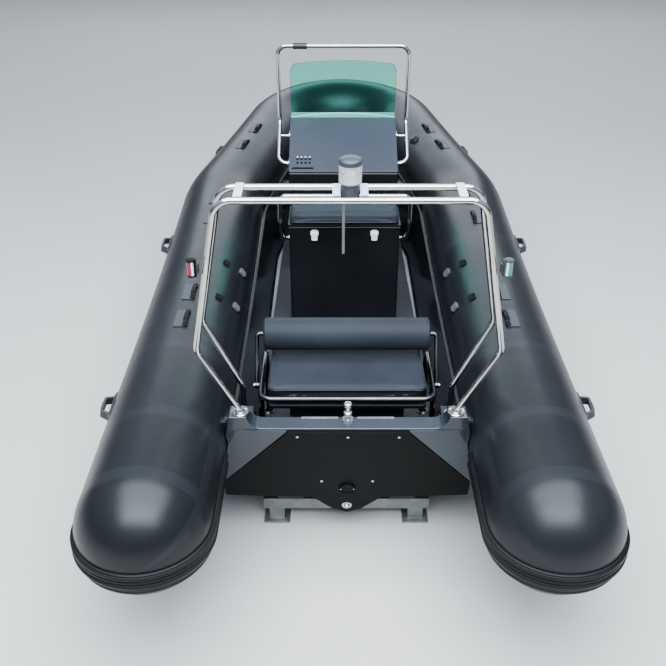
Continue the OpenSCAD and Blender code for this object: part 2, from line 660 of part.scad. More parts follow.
nav_z = tube_z + 800;
nav_gap = 6;
function leg_x(z) = arch_bend_half
    + (arch_top_half - arch_bend_half) * (z - aft_bend_z) / (arch_top_z - aft_bend_z);
module nav_light() {
    translate([leg_x(nav_z) + arch_r + nav_gap, aft_hoop_y, nav_z]) {
        translate([4, 0, 0]) cube([8, 34, 60], center = true);
        translate([20, 0, -28]) cylinder(d = 30, h = 57, $fn = fine);
        translate([20, 0, 28]) cylinder(d = 36, h = 8, $fn = fine);
    }
}
module nav_light_starboard() color([0.1, 0.45, 0.3]) nav_light();
module nav_light_port() color([0.6, 0.08, 0.1]) mirror([1, 0, 0]) nav_light();

// ---------------------------------------------------------------- console

console_y = 350;
dash_back_y = 750;
console_top_y = 860;
console_foot_y = 920;
dash_z = deck_z + dash_low;
dash_top_z = deck_z + dash_high;
dash_t = 10;
dash_angle = atan((dash_top_z - dash_z) / (dash_back_y - console_y));
module side_profile(points, w) {
    rotate([90, 0, 90]) translate([0, 0, -w / 2]) linear_extrude(w) polygon(points);
}
module console() color(gelcoat) side_profile([
    [console_y, deck_z + seat_gap], [console_y, dash_z], [dash_back_y, dash_top_z],
    [console_top_y, dash_top_z], [console_foot_y, deck_z + 60], [console_foot_y, deck_z + seat_gap]],
    console_w);
dash_rise = dash_t / cos(dash_angle);
module dash() color(vinyl) side_profile([
    [console_y, dash_z + seat_gap], [console_y, dash_z + dash_rise],
    [dash_back_y, dash_top_z + dash_rise], [console_top_y, dash_top_z + dash_rise],
    [console_top_y, dash_top_z + seat_gap], [dash_back_y, dash_top_z + seat_gap]], console_w);
panel_x = -235;
panel_along = 75;
module on_dash(along) {
    translate([0, console_y, dash_z + dash_rise]) rotate([dash_angle, 0, 0])
        translate([0, along, seat_gap]) children();
}
module switch_panel() {
    on_dash(panel_along) translate([panel_x, 0, 0]) {
        color(plastic) rounded_block([110, 86, 5], 8);
        color(steel) for (i = [0:3]) translate([-36 + 24 * i, 8, 5]) cylinder(d = 12, h = 6, $fn = 24);
    }
}

screen_r = 620;
screen_w = 630;
screen_half_angle = asin(screen_w / 2 / screen_r);
screen_rake = 8;
screen_base_z = dash_top_z + dash_rise + seat_gap;
screen_mid_y = console_top_y - 20;
screen_h = deck_z + screen_top - screen_base_z;
module windscreen() color([0.3, 0.75, 0.7, 0.5])
    translate([0, screen_mid_y - screen_r, screen_base_z]) intersection() {
        rotate([0, 0, 90 - screen_half_angle])
            rotate_extrude(angle = 2 * screen_half_angle, $fn = 180) polygon([
                [screen_r - screen_t, 0], [screen_r, 0], [screen_r - screen_h * tan(screen_rake), screen_h],
                [screen_r - screen_t - screen_h * tan(screen_rake), screen_h]]);
        rotate([90, 0, 0]) translate([0, screen_h / 2 - 60, -screen_r - 50]) linear_extrude(screen_r)
            rounded_rect([screen_w, screen_h + 120], 45);
    }

rail_half = (800 - console_rail_d) / 2;
rail_y = 755;
rail_top_z = deck_z + 1296 - console_rail_d / 2;
rail_foot_z = deck_z + 640;
rail_foot_y = 520;
// The links meet the rails part of the way up their slanting lower run
rail_turn = 190;
link_share = 0.64;
link_y = rail_foot_y + link_share * (rail_y - rail_foot_y);
link_z = rail_foot_z + link_share * rail_turn;
module console_rail() color(steel) {
    side = [[console_w / 2 + seat_gap + 4, rail_foot_y, rail_foot_z], [rail_half, rail_foot_y, rail_foot_z],
        [rail_half, rail_y, rail_foot_z + rail_turn], [rail_half, rail_y - 30, rail_top_z]];
    bent_tube(whole(side), 55, console_rail_d);
    both_sides() {
        rod([console_w / 2 + seat_gap, rail_foot_y, rail_foot_z],
            [console_w / 2 + seat_gap + 5, rail_foot_y, rail_foot_z], 56);
        rod([console_w / 2 + seat_gap, link_y, link_z], [rail_half, link_y, link_z], 16);
        rod([console_w / 2 + seat_gap, link_y, link_z], [console_w / 2 + seat_gap + 4, link_y, link_z], 36);
    }
}

// ---------------------------------------------------------------- helm seat

seat_y = -250;
seat_fore_y = seat_y + seat_depth;
seat_top_z = deck_z + seat_h;
seat_mid_y = (seat_y + seat_fore_y) / 2;
module seat_box() color(gelcoat) difference() {
    translate([0, seat_mid_y, deck_z + seat_gap])
        rounded_block([seat_w, seat_depth, seat_h - seat_gap], 14);
    translate([0, seat_mid_y, deck_z + seat_wall])
        rounded_block([seat_w - 2 * seat_wall, seat_depth - 2 * seat_wall, seat_h], 6);
}

hinge_y = seat_fore_y + 9;
hinge_z = seat_top_z + lid_gap + 6;
hinge_pin_d = 6;
knuckle_d = 13;
hinge_xs = [-190, 190];
knuckle_w = 26;
module seat_hinge() color(steel) for (x = hinge_xs) {
    rod([x - 1.5 * knuckle_w, hinge_y, hinge_z], [x + 1.5 * knuckle_w, hinge_y, hinge_z], hinge_pin_d);
    for (side = [-1, 1]) translate([x + side * knuckle_w, 0, 0]) {
        rod([-knuckle_w / 2 + 1, hinge_y, hinge_z], [knuckle_w / 2 - 1, hinge_y, hinge_z], knuckle_d);
        translate([-knuckle_w / 2 + 1, seat_fore_y + seat_gap, hinge_z - 46]) cube([knuckle_w - 2, 4, 46]);
    }
    translate([x - 1.5 * knuckle_w + 1, seat_fore_y + seat_gap, hinge_z - 46])
        cube([3 * knuckle_w - 2, 4, 32]);
}
module seat_lid() {
    color(gelcoat) translate([0, seat_mid_y - 3, seat_top_z + lid_gap])
        rounded_block([seat_w + 6, seat_depth + 2, lid_t], 14);
    color(steel) for (x = hinge_xs) difference() {
        union() {
            rod([x - knuckle_w / 2 + 1, hinge_y, hinge_z],
                [x + knuckle_w / 2 - 1, hinge_y, hinge_z], knuckle_d);
            translate([x - knuckle_w / 2 + 1, seat_fore_y - 8, hinge_z - 3]) cube([knuckle_w - 2, 17, 6]);
        }
        rod([x - knuckle_w, hinge_y, hinge_z], [x + knuckle_w, hinge_y, hinge_z],
            hinge_pin_d + 2 * pin_clear);
    }
}
cushion_t = 68;
module seat_cushion() color(vinyl)
    translate([0, seat_mid_y - 3, seat_top_z + lid_gap + lid_t + seat_gap])
        rounded_block([seat_w - 6, seat_depth - 8, cushion_t], 30);
latch_x = 160;
module seat_latches() color(steel) for (x = [-latch_x, latch_x])
    translate([x, seat_y - seat_gap, seat_top_z - 62]) rotate([90, 0, 0]) {
        translate([-18, 0, 0]) cube([36, 44, 5]);
        translate([-11, 14, 4]) cube([22, 44, 6]);
    }
seat_rail_half = (700 - 25) / 2;
module seat_rail() color(steel) {
    foot_y = -150;
    foot_z = deck_z + 459;
    side = [[seat_w / 2 + seat_gap + 11, foot_y, foot_z], [seat_rail_half, foot_y - 30, foot_z + 20],
        [seat_rail_half, -335, foot_z + 180], [seat_rail_half, -350, deck_z + 786]];
    bent_tube(whole(side), 40, 22);
    both_sides() {
        rod([seat_w / 2 + seat_gap, foot_y, foot_z], [seat_w / 2 + seat_gap + 5, foot_y, foot_z], 50);
        rod([seat_w / 2 + seat_gap, foot_y, foot_z], [seat_w / 2 + seat_gap + 13, foot_y, foot_z], 24);
    }
}

// ---------------------------------------------------------------- aft bench

bench_aft_y = -1475;
bench_mid_y = bench_aft_y + bench_depth / 2;
bench_top_z = deck_z + bench_h;
bench_pad_t = 90;
bench_board_t = 18;
bench_board_z = bench_top_z - bench_pad_t - seat_gap - bench_board_t;
bench_rail_half = 367.5;
bench_rail_z = tube_z + 110;
bench_rail_y = -1508;
pivot_x = 400;
pivot_y = bench_mid_y;
pivot_z = tube_z + 30;
pivot_d = 10;
arm_d = 20;
arm_bend = 14;
lug_t = 6;
hub_half = arm_d / 2 + 1;
collar_gap = 0.5;
collar_t = 5;
module bench_base() color(gelcoat) {
    translate([0, bench_mid_y, deck_z + seat_gap])
        rounded_block([500, 250, bench_board_z - deck_z - seat_gap], 16);
    translate([0, bench_mid_y, bench_board_z])
        rounded_block([bench_w - 10, bench_depth - 10, bench_board_t], 20);
}
module bench_cushion() color(vinyl)
    translate([0, bench_mid_y, bench_board_z + bench_board_t + seat_gap])
        rounded_block([bench_w, bench_depth, bench_pad_t - 8], 40);
module bench_rail() color(steel) {
    fore_y = bench_aft_y + bench_depth - 10;
    side = [[bench_rail_half, fore_y, deck_z + seat_gap], [bench_rail_half, fore_y, bench_rail_z],
        [bench_rail_half, bench_rail_y, bench_rail_z]];
    bent_tube(whole(side), 50, 25);
    both_sides() {
        rod([bench_rail_half, bench_rail_y + 60, deck_z + seat_gap],
            [bench_rail_half, bench_rail_y + 60, bench_rail_z], 25);
        for (y = [fore_y, bench_rail_y + 60])
            translate([bench_rail_half, y, deck_z + seat_gap]) cylinder(d = 60, h = 5, $fn = fine);
        translate([bench_rail_half + 3, pivot_y - 20, pivot_z - 20])
            cube([lug_t, 40, bench_rail_z - pivot_z + 20]);
        rod([bench_rail_half + 5, pivot_y, pivot_z],
            [pivot_x + hub_half + collar_gap + 1, pivot_y, pivot_z], pivot_d);
        rod([pivot_x + hub_half + collar_gap, pivot_y, pivot_z],
            [pivot_x + hub_half + collar_gap + collar_t, pivot_y, pivot_z], 17);
    }
}
bolster_y = pivot_y + 118;
bolster_z = tube_z + 228;
module backrest_frame() color(steel) {
    arm = [[pivot_x, pivot_y, pivot_z], [pivot_x, bolster_y, bolster_z],
        [bolster_w / 2 + seat_gap, bolster_y, bolster_z]];
    difference() {
        union() {
            bent_tube(arm, arm_bend, arm_d);
            mirror([1, 0, 0]) bent_tube(arm, arm_bend, arm_d);
            both_sides() rod([pivot_x - hub_half, pivot_y, pivot_z],
                [pivot_x + hub_half, pivot_y, pivot_z], 30);
        }
        both_sides() rod([pivot_x - 20, pivot_y, pivot_z], [pivot_x + 20, pivot_y, pivot_z],
            pivot_d + 2 * pin_clear);
    }
}
module backrest_bolster() color(vinyl)
    rod([-bolster_w / 2, bolster_y, bolster_z], [bolster_w / 2, bolster_y, bolster_z], bolster_d);

// ---------------------------------------------------------------- cradle

cradle_ys = [-1440, 620];
beam_w = 80;
beam_wall = 5;
beam_z = keel_z - seat_gap - beam_h;
foot_w = 70;
pad_w = 120;
module cradle_beams() color(zinc) for (y = cradle_ys) {
    difference() {
        translate([-beam_half, y - beam_w / 2, beam_z]) cube([2 * beam_half, beam_w, beam_h]);
        translate([-beam_half - 1, y - beam_w / 2 + beam_wall, beam_z + beam_wall])
            cube([2 * beam_half + 2, beam_w - 2 * beam_wall, beam_h - 2 * beam_wall]);
    }
    for (x = [-1, 1]) translate([x * (beam_half - 60), y, 0]) {
        translate([-foot_w / 2, -foot_w / 2, 0]) cube([foot_w, foot_w, beam_z]);
        translate([-pad_w / 2, -pad_w / 2, 0]) cube([pad_w, pad_w, 8]);
    }
}
rail_x = 180;
module cradle_rails() color(zinc) for (x = [-1, 1])
    translate([x * rail_x - 25, cradle_ys[0] + beam_w / 2 + seat_gap, beam_z + 5])
        cube([50, cradle_ys[1] - cradle_ys[0] - beam_w - 2 * seat_gap, beam_h - 10]);
// The chocks stand under the flat of the bottom, between the keel's flank and the outer panel
chock_half = 60;
chock_l = 80;
chock_x = (half_hull(0)[2][0] + half_hull(0)[3][0]) / 2;
module cradle_chocks() color([0.1, 0.1, 0.1]) for (y = cradle_ys, x = [-1, 1])
    translate([x * chock_x, y, 0]) mirror([x < 0 ? 1 : 0, 0, 0])
        rotate([90, 0, 0]) translate([0, 0, -chock_l / 2]) linear_extrude(chock_l) polygon([
            [-chock_half, keel_z], [chock_half, keel_z],
            [chock_half, bottom_z(chock_x + chock_half, y - chock_l / 2) - seat_gap],
            [-chock_half, bottom_z(chock_x - chock_half, y - chock_l / 2) - seat_gap]]);
function bottom_z(x, y) = lookup(x, [for (i = [0:4]) half_hull(y)[i]]);

rigid_hull();
deck();
liner_port();
liner_starboard();
bow_deck();
rim_port();
rim_starboard();
transom();
transom_fairings();
engine_pad();
drain_plug();
drain_cover();
tow_post();
bow_eye();
bow_cleat();
tube_port();
tube_starboard();
tube_bow();
strake_port();
strake_starboard();
strake_bow();
grab_handles();
strap_handles();
paddle_clips();
valve();
arch_aft_hoop();
arch_fore_hoop();
arch_links();
arch_rod();
light_base();
all_round_light();
nav_light_port();
nav_light_starboard();
console();
dash();
switch_panel();
windscreen();
console_rail();
seat_box();
seat_hinge();
seat_latches();
seat_rail();
seat_lid();
seat_cushion();
bench_base();
bench_rail();
bench_cushion();
backrest_frame();
backrest_bolster();
cradle_beams();
cradle_rails();
cradle_chocks();
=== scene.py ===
# %% [markdown]
# # A rigid inflatable boat on its cradle
# The boat has a hard black hull, a fat fabric tube round its edge, a console, two seats and a steel
# light arch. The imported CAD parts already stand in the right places. This lesson covers them with finer
# skins, gives every surface its finish, pads the cushions, and lights the boat on a pale floor.

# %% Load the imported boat
import bpy
import math
from mathutils import Matrix, Vector


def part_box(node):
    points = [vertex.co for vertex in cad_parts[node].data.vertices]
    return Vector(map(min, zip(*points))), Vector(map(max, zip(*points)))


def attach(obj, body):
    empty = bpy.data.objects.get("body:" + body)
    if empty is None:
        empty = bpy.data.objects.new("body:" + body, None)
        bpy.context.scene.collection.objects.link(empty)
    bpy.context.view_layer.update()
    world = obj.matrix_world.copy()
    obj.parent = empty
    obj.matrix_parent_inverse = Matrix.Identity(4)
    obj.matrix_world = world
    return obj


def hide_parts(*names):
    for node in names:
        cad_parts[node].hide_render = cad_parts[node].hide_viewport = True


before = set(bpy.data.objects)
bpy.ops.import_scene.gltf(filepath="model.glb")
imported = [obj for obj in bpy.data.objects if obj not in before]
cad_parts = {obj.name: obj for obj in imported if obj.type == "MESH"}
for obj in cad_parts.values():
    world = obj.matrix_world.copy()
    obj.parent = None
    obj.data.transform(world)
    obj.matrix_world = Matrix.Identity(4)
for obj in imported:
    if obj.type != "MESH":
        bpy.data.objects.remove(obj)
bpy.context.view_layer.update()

# %% [markdown]
# ## Working by hand, in code
# Operators act on whatever is selected, so each step first drops the old selection. A finished piece
# keeps its place in its mesh, with its object at the origin, so that patterns stay put on it.

# %% Selection and editing
def clear():
    if bpy.context.object and bpy.context.object.mode != "OBJECT":
        bpy.ops.object.mode_set(mode="OBJECT")
    bpy.ops.object.select_all(action="DESELECT")

def take(piece):
    clear()
    piece.select_set(True)
    bpy.context.view_layer.objects.active = piece
    return piece

def edit(piece, kind=None):
    take(piece)
    bpy.ops.object.mode_set(mode="EDIT")
    if kind:
        bpy.ops.mesh.select_mode(type=kind)
    bpy.ops.mesh.select_all(action="SELECT")

def leave():
    bpy.ops.object.mode_set(mode="OBJECT")

def settle(piece):
    take(piece)
    bpy.ops.object.transform_apply(location=True, rotation=True, scale=True)
    return piece

def put(piece, place):
    if place is not None:
        piece.matrix_world = place
        settle(piece)
    return piece

def at(x, y, z):
    return Matrix.Translation((x, y, z))

# %% Modifiers and smooth shading
def modify(piece, kind, **settings):
    take(piece)
    modifier = piece.modifiers.new(kind.lower(), kind)
    for key, value in settings.items():
        setattr(modifier, key, value)
    bpy.ops.object.modifier_apply(modifier=modifier.name)
    return piece

def smooth(piece, angle=40):
    take(piece)
    bpy.ops.object.shade_smooth_by_angle(angle=math.radians(angle))
    return piece

def even(piece):
    return modify(piece, "WEIGHTED_NORMAL", keep_sharp=True)

# %% Naming, painting and claiming
def join(pieces, name):
    take(pieces[0])
    for piece in pieces:
        piece.select_set(True)
    bpy.ops.object.join()
    joined = bpy.context.object
    joined.name = name
    return joined

def paint(piece, finish):
    piece.data.materials.clear()
    piece.data.materials.append(finish)
    return piece

def claim(piece, body, slot, *nodes):
    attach(piece, body)
    if nodes:
        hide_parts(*nodes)
    return piece

def fit(piece, slot, *nodes):
    return claim(piece, "boat", slot, *nodes)

def to_port(piece, name):
    other = piece.copy()
    other.data = piece.data.copy()
    other.name = name
    bpy.context.scene.collection.objects.link(other)
    other.data.transform(Matrix.Diagonal((-1, 1, 1, 1)))
    edit(other)
    bpy.ops.mesh.flip_normals()
    leave()
    if other.data.has_custom_normals:
        bpy.ops.mesh.customdata_custom_splitnormals_clear()
        even(smooth(other))
    return other

def pair(piece, slot, *nodes, body="boat"):
    other = to_port(piece, piece.name.replace("starboard", "port"))
    for one in (piece, other):
        claim(one, body, slot)
    if nodes:
        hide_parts(*nodes)

# %% [markdown]
# ## Three ways to make a shape
# A loft is a grid whose rows are laid on rings of points, for the tubes and strakes. A sweep is a curve
# with a round section, for bent steel tube. A softened copy of a CAD node has its hard edges rounded, as
# a moulding's are, so that they catch the light.

# %% Loft a grid through rings
merge_within = 0.00002

def running(points):
    total = [0.0]
    for a, b in zip(points, points[1:]):
        total.append(total[-1] + (b - a).length)
    return total

def loft(name, rings, closed=True, capped=True):
    rows, count = len(rings), len(rings[0])
    columns = count if closed else count - 1
    clear()
    bpy.ops.mesh.primitive_grid_add(x_subdivisions=columns, y_subdivisions=rows - 1)
    piece = bpy.context.object
    piece.name = name
    points = [Vector(ring[i % count]) for ring in rings for i in range(columns + 1)]
    for vertex, point in zip(piece.data.vertices, points):
        vertex.co = point
    middle = rings[rows // 2]
    across = running([Vector(middle[i % count]) for i in range(columns + 1)])
    along = running([sum((Vector(p) for p in ring), Vector()) / count for ring in rings])
    layout = piece.data.uv_layers[0]
    for loop in piece.data.loops:
        row, column = divmod(loop.vertex_index, columns + 1)
        layout.data[loop.index].uv = (across[column], along[row])
    edit(piece)
    bpy.ops.mesh.remove_doubles(threshold=merge_within)
    if capped:
        bpy.ops.mesh.select_all(action="DESELECT")
        bpy.ops.mesh.select_mode(type="EDGE")
        bpy.ops.mesh.select_non_manifold()
        bpy.ops.mesh.fill_holes(sides=0)
    bpy.ops.mesh.select_all(action="SELECT")
    bpy.ops.mesh.normals_make_consistent(inside=False)
    leave()
    return smooth(piece)

# %% Sweep a round tube along a chain of corners
degrees_a_step = 6

def rounded_way(corners, bend):
    way = [Vector(corners[0])]
    for a, b, c in zip(corners, corners[1:], corners[2:]):
        a, b, c = Vector(a), Vector(b), Vector(c)
        u, w = (b - a).normalized(), (c - b).normalized()
        turn = u.angle(w)
        side = u.cross(w).normalized().cross(u)
        start = b - u * bend * math.tan(turn / 2)
        steps = max(2, round(math.degrees(turn) / degrees_a_step))
        for k in range(steps + 1):
            t = turn * k / steps
            way.append(start + u * bend * math.sin(t) + side * bend * (1 - math.cos(t)))
    way.append(Vector(corners[-1]))
    return way

def sweep(name, way, diameter, resolution=5, capped=True):
    clear()
    bpy.ops.curve.primitive_nurbs_path_add()
    wire = bpy.context.object
    wire.name = name
    wire.data.splines.clear()
    line = wire.data.splines.new("POLY")
    line.points.add(len(way) - 1)
    for point, place in zip(line.points, way):
        point.co = (*place, 1)
    wire.data.dimensions = "3D"
    wire.data.bevel_depth = diameter / 2
    wire.data.bevel_resolution = resolution
    wire.data.use_fill_caps = capped
    take(wire)
    bpy.ops.object.convert(target="MESH")
    return smooth(settle(bpy.context.object), 50)

def both_ways(half):
    return list(half) + [(-x, y, z) for x, y, z in reversed(half)]

def hoop(name, half, bend, diameter, surface):
    return paint(sweep(name, rounded_way(both_ways(half), bend), diameter), surface)

# %% Round the edges of a CAD node's copy
def softened(node, name, width, segments, angle, edge):
    piece = bpy.data.objects.new(name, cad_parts[node].data.copy())
    bpy.context.scene.collection.objects.link(piece)
    edit(piece)
    bpy.ops.mesh.remove_doubles(threshold=merge_within)
    bpy.ops.mesh.dissolve_limited(angle_limit=math.radians(0.4))
    leave()
    if not width:
        return smooth(piece, angle)
    modify(piece, "BEVEL", width=width, segments=segments, limit_method="ANGLE", angle_limit=math.radians(edge))
    return even(smooth(piece, angle))

# %% [markdown]
# ## Finishes
# A real surface is never one flat colour. Each finish mixes two close tones with slow noise, breaks up its
# gloss, and carries a small bump: orange peel on gelcoat, grain on vinyl, a weave on the tube's fabric.
# The patterns read Object coordinates, so they stay the same size on every piece.

# %% Shader nodes by name
def tune(node, **values):
    for name, value in values.items():
        node.inputs[name.replace("_", " ")].default_value = value
    return node

def add(tree, kind, **values):
    return tune(tree.nodes.new("ShaderNode" + kind), **values)

def ramp(tree, *stops):
    node = add(tree, "ValToRGB")
    for element, (position, colour) in zip(node.color_ramp.elements, stops):
        element.position, element.color = position, (*colour, 1)
    return node

def link(source, output, target, socket):
    target.id_data.links.new(source.outputs[output], target.inputs[socket])

# %% A finish from two tones, a gloss range and a bump
def finish(name, dark, light, rough, patch, grain=None, height=0.0001, metallic=0.0, coat=0.0, coat_rough=0.1,
           specular=0.5, kind="noise"):
    material = bpy.data.materials.new(name)
    material.use_nodes = True
    tree = material.node_tree
    shader = tune(tree.nodes["Principled BSDF"], Metallic=metallic, Coat_Weight=coat, Coat_Roughness=coat_rough,
                  Specular_IOR_Level=specular)
    place = add(tree, "TexCoord")
    blotch = add(tree, "TexNoise", Scale=patch, Detail=6)
    link(place, "Object", blotch, "Vector")
    tone = ramp(tree, (0.32, dark), (0.68, light))
    link(blotch, "Fac", tone, "Fac")
    link(tone, "Color", shader, "Base Color")
    gloss = add(tree, "MapRange", From_Min=0.3, From_Max=0.7, To_Min=rough[0], To_Max=rough[1])
    link(blotch, "Fac", gloss, "Value")
    link(gloss, "Result", shader, "Roughness")
    if grain:
        cells = kind == "cells"
        texture = add(tree, "TexVoronoi" if cells else "TexNoise", Scale=grain)
        bump = add(tree, "Bump", Distance=height, Strength=1.0)
        link(place, "Object", texture, "Vector")
        link(texture, "Distance" if cells else "Fac", bump, "Height")
        link(bump, "Normal", shader, "Normal")
    material["parts"] = ""
    return material

# %% Gelcoats
gelcoat = finish("black_gelcoat", (0.0035, 0.004, 0.005), (0.007, 0.008, 0.01), (0.12, 0.26), 3,
                 60, 0.0003, coat=0.5, coat_rough=0.08)
hull_coat = finish("grey_black_gelcoat", (0.01, 0.012, 0.015), (0.018, 0.021, 0.026), (0.26, 0.4), 2.5,
                   50, 0.0003, coat=0.3, coat_rough=0.18)
transom_coat = finish("slate_gelcoat", (0.012, 0.016, 0.022), (0.021, 0.027, 0.036), (0.22, 0.34), 2.2,
                      24, 0.0004, coat=0.5, coat_rough=0.05, specular=0.35)
furniture_coat = finish("satin_black_gelcoat", (0.0022, 0.0026, 0.0032), (0.0042, 0.0048, 0.0058),
                        (0.36, 0.48), 3, 60, 0.0003, coat=0.08, coat_rough=0.25, specular=0.22)

# %% Metals
chrome = finish("polished_steel", (0.5, 0.487, 0.468), (0.64, 0.625, 0.605), (0.06, 0.15), 9, 25, metallic=1.0)
# Painted shade: the bench's polished tube gets a much darker base colour for the shade of the cushion above it.
steel_painted_shade = finish("bench_steel_painted_shade", (0.06, 0.06, 0.064), (0.1, 0.1, 0.105), (0.12, 0.22), 9, 25,
                   metallic=1.0)
latch_steel = finish("brushed_latch_steel", (0.84, 0.85, 0.86), (0.92, 0.93, 0.94), (0.34, 0.46), 14, 300,
                     metallic=0.35)
zinc = finish("galvanised_steel", (0.15, 0.158, 0.155), (0.27, 0.28, 0.275), (0.42, 0.62), 22, 120, 0.0002,
              metallic=0.9, kind="cells")
rod_paint = finish("rod_grey", (0.11, 0.11, 0.115), (0.17, 0.17, 0.175), (0.25, 0.4), 12, 200, metallic=0.8)

# %% Rubbers and plastics
moulded = finish("moulded_black_rubber", (0.006, 0.0065, 0.0075), (0.013, 0.014, 0.016), (0.38, 0.52), 12,
                 700, 0.0003)
pad_black = finish("pad_black", (0.0018, 0.0018, 0.0019), (0.0036, 0.0036, 0.0038), (0.4, 0.52), 5,
                   900, 0.00025, specular=0.07)
patch_grey = finish("patch_grey_rubber", (0.02, 0.023, 0.029), (0.032, 0.036, 0.044), (0.42, 0.55), 14,
                    600, 0.0002, specular=0.3)
buckle_grey = finish("buckle_grey", (0.045, 0.048, 0.053), (0.07, 0.074, 0.079), (0.48, 0.6), 14, 300)
grey_plastic = finish("light_grey_plastic", (0.42, 0.44, 0.5), (0.52, 0.54, 0.61), (0.28, 0.4), 14, 200)
white_plastic = finish("white_plastic", (0.66, 0.67, 0.68), (0.78, 0.79, 0.8), (0.25, 0.38), 14, 200)
slate_plastic = finish("slate_plastic", (0.013, 0.016, 0.023), (0.021, 0.025, 0.034), (0.32, 0.44), 14, 300)
trim_grey = finish("edge_trim_grey", (0.011, 0.0115, 0.0125), (0.02, 0.0205, 0.022), (0.4, 0.55), 8,
                   200, 0.0002, specular=0.15)

# %% Console skins and vinyl
dash_skin = finish("dash_charcoal", (0.014, 0.017, 0.028), (0.018, 0.022, 0.035), (0.4, 0.48), 2,
                   500, 0.00012, coat=0.05, coat_rough=0.35)
# Painted reflection: the console ledge's teal base colour stands in for the green windscreen mirrored in its
# gloss.
ledge_painted_reflection = finish("console_top_gloss", (0.026, 0.062, 0.06), (0.034, 0.076, 0.073), (0.24, 0.32), 3, 60,
                   coat=0.2, coat_rough=0.15)
vinyl = finish("marine_vinyl", (0.013, 0.0158, 0.0205), (0.0185, 0.0222, 0.0285), (0.48, 0.58), 5,
               420, 0.0004, specular=0.12, kind="cells")
# Painted shade: a darker copy of the vinyl for the bench cushion's upright sides, which stand in shade.
vinyl_painted_shade = finish("marine_vinyl_side", (0.002, 0.0024, 0.0031), (0.0036, 0.0042, 0.0052), (0.5, 0.6), 5,
                    420, 0.0004, specular=0.1, kind="cells")
print("finishes so far:", len(bpy.data.materials))

# %% [markdown]
# The deck's non-skid is a field of small raised cells. The tube's fabric is a satin coated weave, with a
# wide tape over each seam: the loft's own UV map runs in metres round and along the tube, so the tapes are
# drawn as narrow ranges of it, a little paler, and a slow swell makes the fabric look blown up.

# %% Non-skid deck
nonskid = finish("grey_nonskid", (0.008, 0.01, 0.013), (0.015, 0.018, 0.022), (0.52, 0.68), 4,
                 160, 0.0016, specular=0.3, kind="cells")

# %% Tube fabric with seam tapes
tape_width, long_tape_width, tape_lift = 0.06, 0.044, 0.0018

def math_node(tree, operation):
    node = add(tree, "Math")
    node.operation = operation
    return node

def tube_fabric(name, tapes, long_tapes=()):
    material = finish(name, (0.0045, 0.005, 0.0062), (0.007, 0.0078, 0.0092), (0.3, 0.38), 1.6,
                      900, 0.00012, specular=0.26)
    tree = material.node_tree
    shader, weave, place = (next(n for n in tree.nodes if n.bl_idname == "ShaderNode" + kind)
                            for kind in ("BsdfPrincipled", "Bump", "TexCoord"))
    split = add(tree, "SeparateXYZ")
    link(add(tree, "UVMap"), "UV", split, "Vector")
    total = None
    for axis, centres, width in (("Y", tapes, tape_width), ("X", long_tapes, long_tape_width)):
        for centre in centres:
            inside = math_node(tree, "COMPARE")
            inside.inputs[1].default_value = centre
            inside.inputs[2].default_value = width / 2
            link(split, axis, inside, 0)
            if total:
                either = math_node(tree, "MAXIMUM")
                link(total, 0, either, 0)
                link(inside, 0, either, 1)
                inside = either
            total = inside
    tape_bump = add(tree, "Bump", Distance=tape_lift)
    link(total, 0, tape_bump, "Height")
    link(weave, "Normal", tape_bump, "Normal")
    plain = shader.inputs["Base Color"].links[0].from_node
    tint = add(tree, "Mix")
    tint.data_type = "RGBA"
    tint.inputs[7].default_value = (0.008, 0.009, 0.0108, 1)
    link(total, 0, tint, 0)
    link(plain, "Color", tint, 6)
    link(tint, 2, shader, "Base Color")
    swell = add(tree, "TexNoise", Scale=4.5, Detail=3)
    link(place, "Object", swell, "Vector")
    slow = add(tree, "Bump", Distance=0.006, Strength=0.5)
    link(swell, "Fac", slow, "Height")
    link(tape_bump, "Normal", slow, "Normal")
    link(slow, "Normal", shader, "Normal")
    return material

# %% [markdown]
# Clear plastics: the windscreen is a green tinted sheet, the lantern's lens is clear and ribbed, and the
# side lights have red and green lenses. On the first two transmission does the work, so their colour comes
# from what is behind. The side lights' lenses are nearly opaque, as they look when they are not lit.

# %% Clear and coloured plastics
def clear_plastic(name, colour, rough, transmission=1.0, ior=1.45):
    material = finish(name, colour, [min(1, c * 1.04) for c in colour], (rough, rough + 0.03), 40, 8)
    tune(material.node_tree.nodes["Principled BSDF"], Transmission_Weight=transmission, IOR=ior)
    return material

screen_tint = clear_plastic("green_tinted_screen", (0.27, 0.9, 0.73), 0.01, ior=1.2)
lens_clear = clear_plastic("ribbed_clear_lens", (0.94, 0.97, 0.99), 0.05, 0.9, ior=1.4)
lens_red = clear_plastic("red_lens", (0.2, 0.006, 0.03), 0.1, 0.15)
lens_green = clear_plastic("green_lens", (0.03, 0.24, 0.15), 0.1, 0.25)
print("finishes:", len(bpy.data.materials))

# %% [markdown]
# ## The inflated tube
# The tube follows a plan of a straight side, a gentle bend, a straight taper and a round bow, and rises
# towards the bow while it gets thinner. Its three chambers are lofts through upright rings on that path.
# The numbers are the CAD's own, in metres.

# %% The tube's path
length_over_all, beam, tube_height = 4.8, 2.0, 0.6
side_radius, bow_radius, bow_rise = 0.25, 0.222, 0.24
straight_to, shoulder_bend, bow_bend = 0.55, 0.9, 0.489
strake_depth, strake_width, strake_seat = 0.018, 0.11, 0.0012
side_x = beam / 2 - side_radius
tip = length_over_all / 2 - strake_depth - strake_seat
dome_start = -tip + side_radius
bow_end = tip - bow_radius
bow_centre = bow_end - bow_bend
reach = (-(side_x - shoulder_bend), bow_centre - straight_to)
taper = math.atan2(reach[1], reach[0]) - math.acos((shoulder_bend - bow_bend) / math.hypot(*reach))
bend_end = straight_to + shoulder_bend * math.sin(taper)
arc_start = bow_centre + bow_bend * math.sin(taper)
rise_start = -length_over_all / 4
chamber_seam = bend_end + 0.4 * (arc_start - bend_end)
joint_gap = 0.0003

